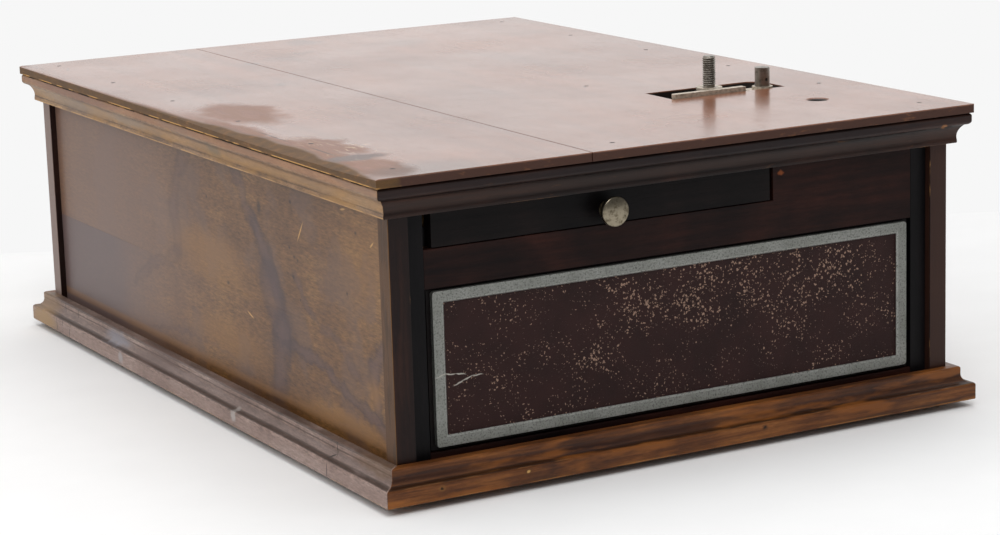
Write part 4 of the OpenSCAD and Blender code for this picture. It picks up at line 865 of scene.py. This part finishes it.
def castPlate(marks):
    # cast aluminium: a rubbed satin border round a maroon painted field, chipped all over
    material, tree, surface, place = newMaterial("cast aluminium, painted field")
    (halfX, halfZ), middle, floor = marks["field"]
    local = addNode(tree, "ShaderNodeVectorMath", {0: addNode(
        tree, "ShaderNodeVectorMath", {0: place, 1: (0, 0, middle)}, operation="SUBTRACT")},
        operation="ABSOLUTE")
    over = axesOf(tree, addNode(tree, "ShaderNodeVectorMath", {
        0: local, 1: (halfX, 0, halfZ)}, operation="SUBTRACT"))
    outside = combine(tree, "MAXIMUM", over["X"], over["Z"])  # mm past the field's edge
    split = axesOf(tree, place)
    inside = combine(tree, "LESS_THAN", outside, 0.2)
    sunk = combine(tree, "GREATER_THAN", split["Y"], floor)
    low = combine(tree, "MULTIPLY", inside, sunk)
    # the bevel round the field: the bare metal there painted lighter, a painted highlight
    rimHighlight = combine(tree, "LESS_THAN", outside, 1.6)
    # chips: small ragged islands where the paint has let go, thickest above the middle
    ragged = wander(tree, place, 1.6, 3.4)
    island = addNode(tree, "ShaderNodeTexVoronoi", {"Vector": ragged, "Scale": 1 / marks["cell"]})
    tone = addNode(tree, "ShaderNodeTexVoronoi", {
        "Vector": ragged, "Scale": 1 / marks["cell"]}, out="Color")
    pick = addNode(tree, "ShaderNodeSeparateColor", {0: tone})
    crowd = noiseOf(tree, place, 34, 3)
    (x, z), (halfX, halfZ) = marks["chipDense"]
    dense = softSpot(tree, place, (x, -344, z), (halfX, 60, halfZ), edge=0.8)
    reach = combine(tree, "ADD", crowd, combine(tree, "MULTIPLY", dense, 0.2))
    size = spread(tree, reach, (0.36, 0.75), (0.1, 0.55))
    size = combine(tree, "MULTIPLY", size, pick)
    chipped = combine(tree, "LESS_THAN", island, size)
    grain = noiseOf(tree, place, 1.6, 5, 0.75)
    broad = noiseOf(tree, place, 22, 3)
    paint = mixColour(tree, broad, "#1c0d0c", "#341b19")
    field = layered(tree, paint, [(chipped, "#9c7f6e", 0.9)])
    pits = spread(tree, grain, (0.5, 0.62))
    bare = layered(tree, mixColour(tree, broad, "#74766f", "#a2a39f"), [
        (rimHighlight, "#b4b5b0", 0.6), (pits, "#3a3b36", 0.7)])
    colour = mixColour(tree, low, bare, field)
    scratch = [(strokeMask(tree, wander(tree, place, 5, 2.5), "XZ", points, 1.1, 0.4), "#b9b4ab",
                0.8) for points in marks["scratches"]]
    colour = layered(tree, colour, scratch)
    shine = spread(tree, low, (0, 1), (0.8, 0))
    rough = spread(tree, low, (0, 1), (0.42, 0.55))
    height = combine(tree, "SUBTRACT", grain, combine(tree, "MULTIPLY", chipped, 0.4))
    bump = addNode(tree, "ShaderNodeBump", {"Height": height, "Strength": 0.8, "Distance": 0.0006})
    finish(tree, surface, Base_Color=colour, Metallic=shine, Roughness=rough,
           Specular_IOR_Level=0.2, Normal=bump)
    return material


threadedRod = {
    # the stud, in mm: its axis, its turned steps as (height, radius), and its thread
    "axis": (141, -171),
    "steps": [(235.5, 7), (237, 7), (237, 6), (245.9, 6), (245.9, 4.7), (270.9, 4.7), (271.5, 4.2)],
    "pitch": 1.81, "root": 4.7, "crest": 5.55, "turns": 13, "start": 246.9,
}


def cutStud(rod):
    # turned from the foot up, then wound with a ridge of four-sided section
    x, y = (v / 1000 for v in rod["axis"])
    (z, radius), *rest = [(z / 1000, radius / 1000) for z, radius in rod["steps"]]
    bpy.ops.mesh.primitive_circle_add(vertices=48, radius=radius, fill_type="NGON",
                                      location=(x, y, z))
    core = bpy.context.object
    pickOnly(core)
    bpy.ops.object.transform_apply(location=True)
    bpy.ops.object.mode_set(mode="EDIT")
    bpy.ops.mesh.select_all(action="SELECT")
    for height, size in rest:
        bpy.ops.mesh.extrude_region_move(TRANSFORM_OT_translate={"value": (0, 0, height - z)})
        if size != radius:
            bpy.ops.transform.resize(value=(size / radius, size / radius, 1),
                                     center_override=(x, y, height))
        z, radius = height, size
    bpy.ops.object.mode_set(mode="OBJECT")
    root = rod["root"] / 1000
    depth = rod["crest"] / 1000 - root
    bpy.ops.object.select_all(action="DESELECT")
    bpy.ops.mesh.primitive_circle_add(vertices=4, radius=1, fill_type="NOTHING")
    ridge = bpy.context.object
    bpy.ops.object.mode_set(mode="EDIT")
    bpy.ops.mesh.select_all(action="SELECT")
    bpy.ops.transform.rotate(value=math.pi / 2, orient_axis="X", center_override=(0, 0, 0))
    bpy.ops.transform.resize(value=(depth, 1, rod["pitch"] / 1000 * 0.48),
                             center_override=(0, 0, 0))
    bpy.ops.transform.translate(value=(root, 0, rod["start"] / 1000))
    bpy.ops.object.mode_set(mode="OBJECT")
    applyModifier(ridge, "SCREW", axis="Z", angle=math.tau, screw_offset=rod["pitch"] / 1000,
                  iterations=rod["turns"], steps=32, render_steps=32, use_merge_vertices=False)
    ridge.location = (x, y, 0)
    bpy.ops.object.transform_apply(location=True)
    bpy.ops.object.mode_set(mode="EDIT")
    bpy.ops.mesh.select_mode(type="EDGE")
    bpy.ops.mesh.select_all(action="DESELECT")
    bpy.ops.mesh.select_non_manifold()
    bpy.ops.mesh.edge_face_add()
    bpy.ops.object.mode_set(mode="OBJECT")
    core.select_set(True)
    bpy.context.view_layer.objects.active = core
    bpy.ops.object.join()
    bpy.ops.object.mode_set(mode="EDIT")
    bpy.ops.mesh.select_all(action="SELECT")
    bpy.ops.mesh.normals_make_consistent(inside=False)
    bpy.ops.object.mode_set(mode="OBJECT")
    core.name = core.data.name = "stud"
    core.data.materials.append(metals["steel"])
    return settle(core, "stud")


metalPieces = {
    # node: material, record slot, softened edge in mm
    "cast_plate": (castPlate(plateMarks), "cast_metal", 0.35),
    "knob": (metals["nickel"], "nickel", 0),
    "knob_screw": (metals["steel"], "steel", 0),
    "plate_screws": (metals["steel"], "steel", 0),
    "nail_fillers": (wood["post"], "dark_mahogany", 0),
    "base_glides": (metals["steel"], "steel", 0),
    "bearing_plate": (metals["iron"], "iron", 0.4),
    "bearing_screws": (metals["steel"], "steel", 0),
    "shelf_bush": (metals["iron"], "iron", 0.3),
    "striker": (metals["steel"], "steel", 0.3),
    "lever_arm": (metals["iron"], "iron", 0.5),
    "stud_collar": (metals["iron"], "iron", 0.3),
    "latch_shaft": (metals["steel"], "steel", 0.5),
    "latch_dog": (metals["iron"], "iron", 0.4),
    "dog_pin": (metals["steel"], "steel", 0),
    "lever_spring": (metals["spring"], "steel", 0),
}
# the return spring: its leg sits at the bush and its inner end on the shaft, given here as bodies
# and points that settle does not use
joints = frame["record"]["behaviour"]["joints"]
pivot = next(joint["pos_m"] for joint in joints if joint["name"] == "lever_turn")
legHeight = 0.0025  # metres at each end of the coil that do not wind
springLow, springHigh = (corner[2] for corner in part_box("lever_spring"))
twists = {"lever_spring": ("case", "lever", (pivot[0], pivot[1], springLow + legHeight),
                           (pivot[0], pivot[1], springHigh - legHeight))}
for node, (material, slotName, width) in metalPieces.items():
    if width:
        piece = eased(node, width, material)
    else:
        piece = workedCopy(node)
        piece.data.materials.append(material)
    settle(piece, node, twist=twists.get(node))
cutStud(threadedRod)
print("metal pieces worked:", len(metalPieces) + 1)
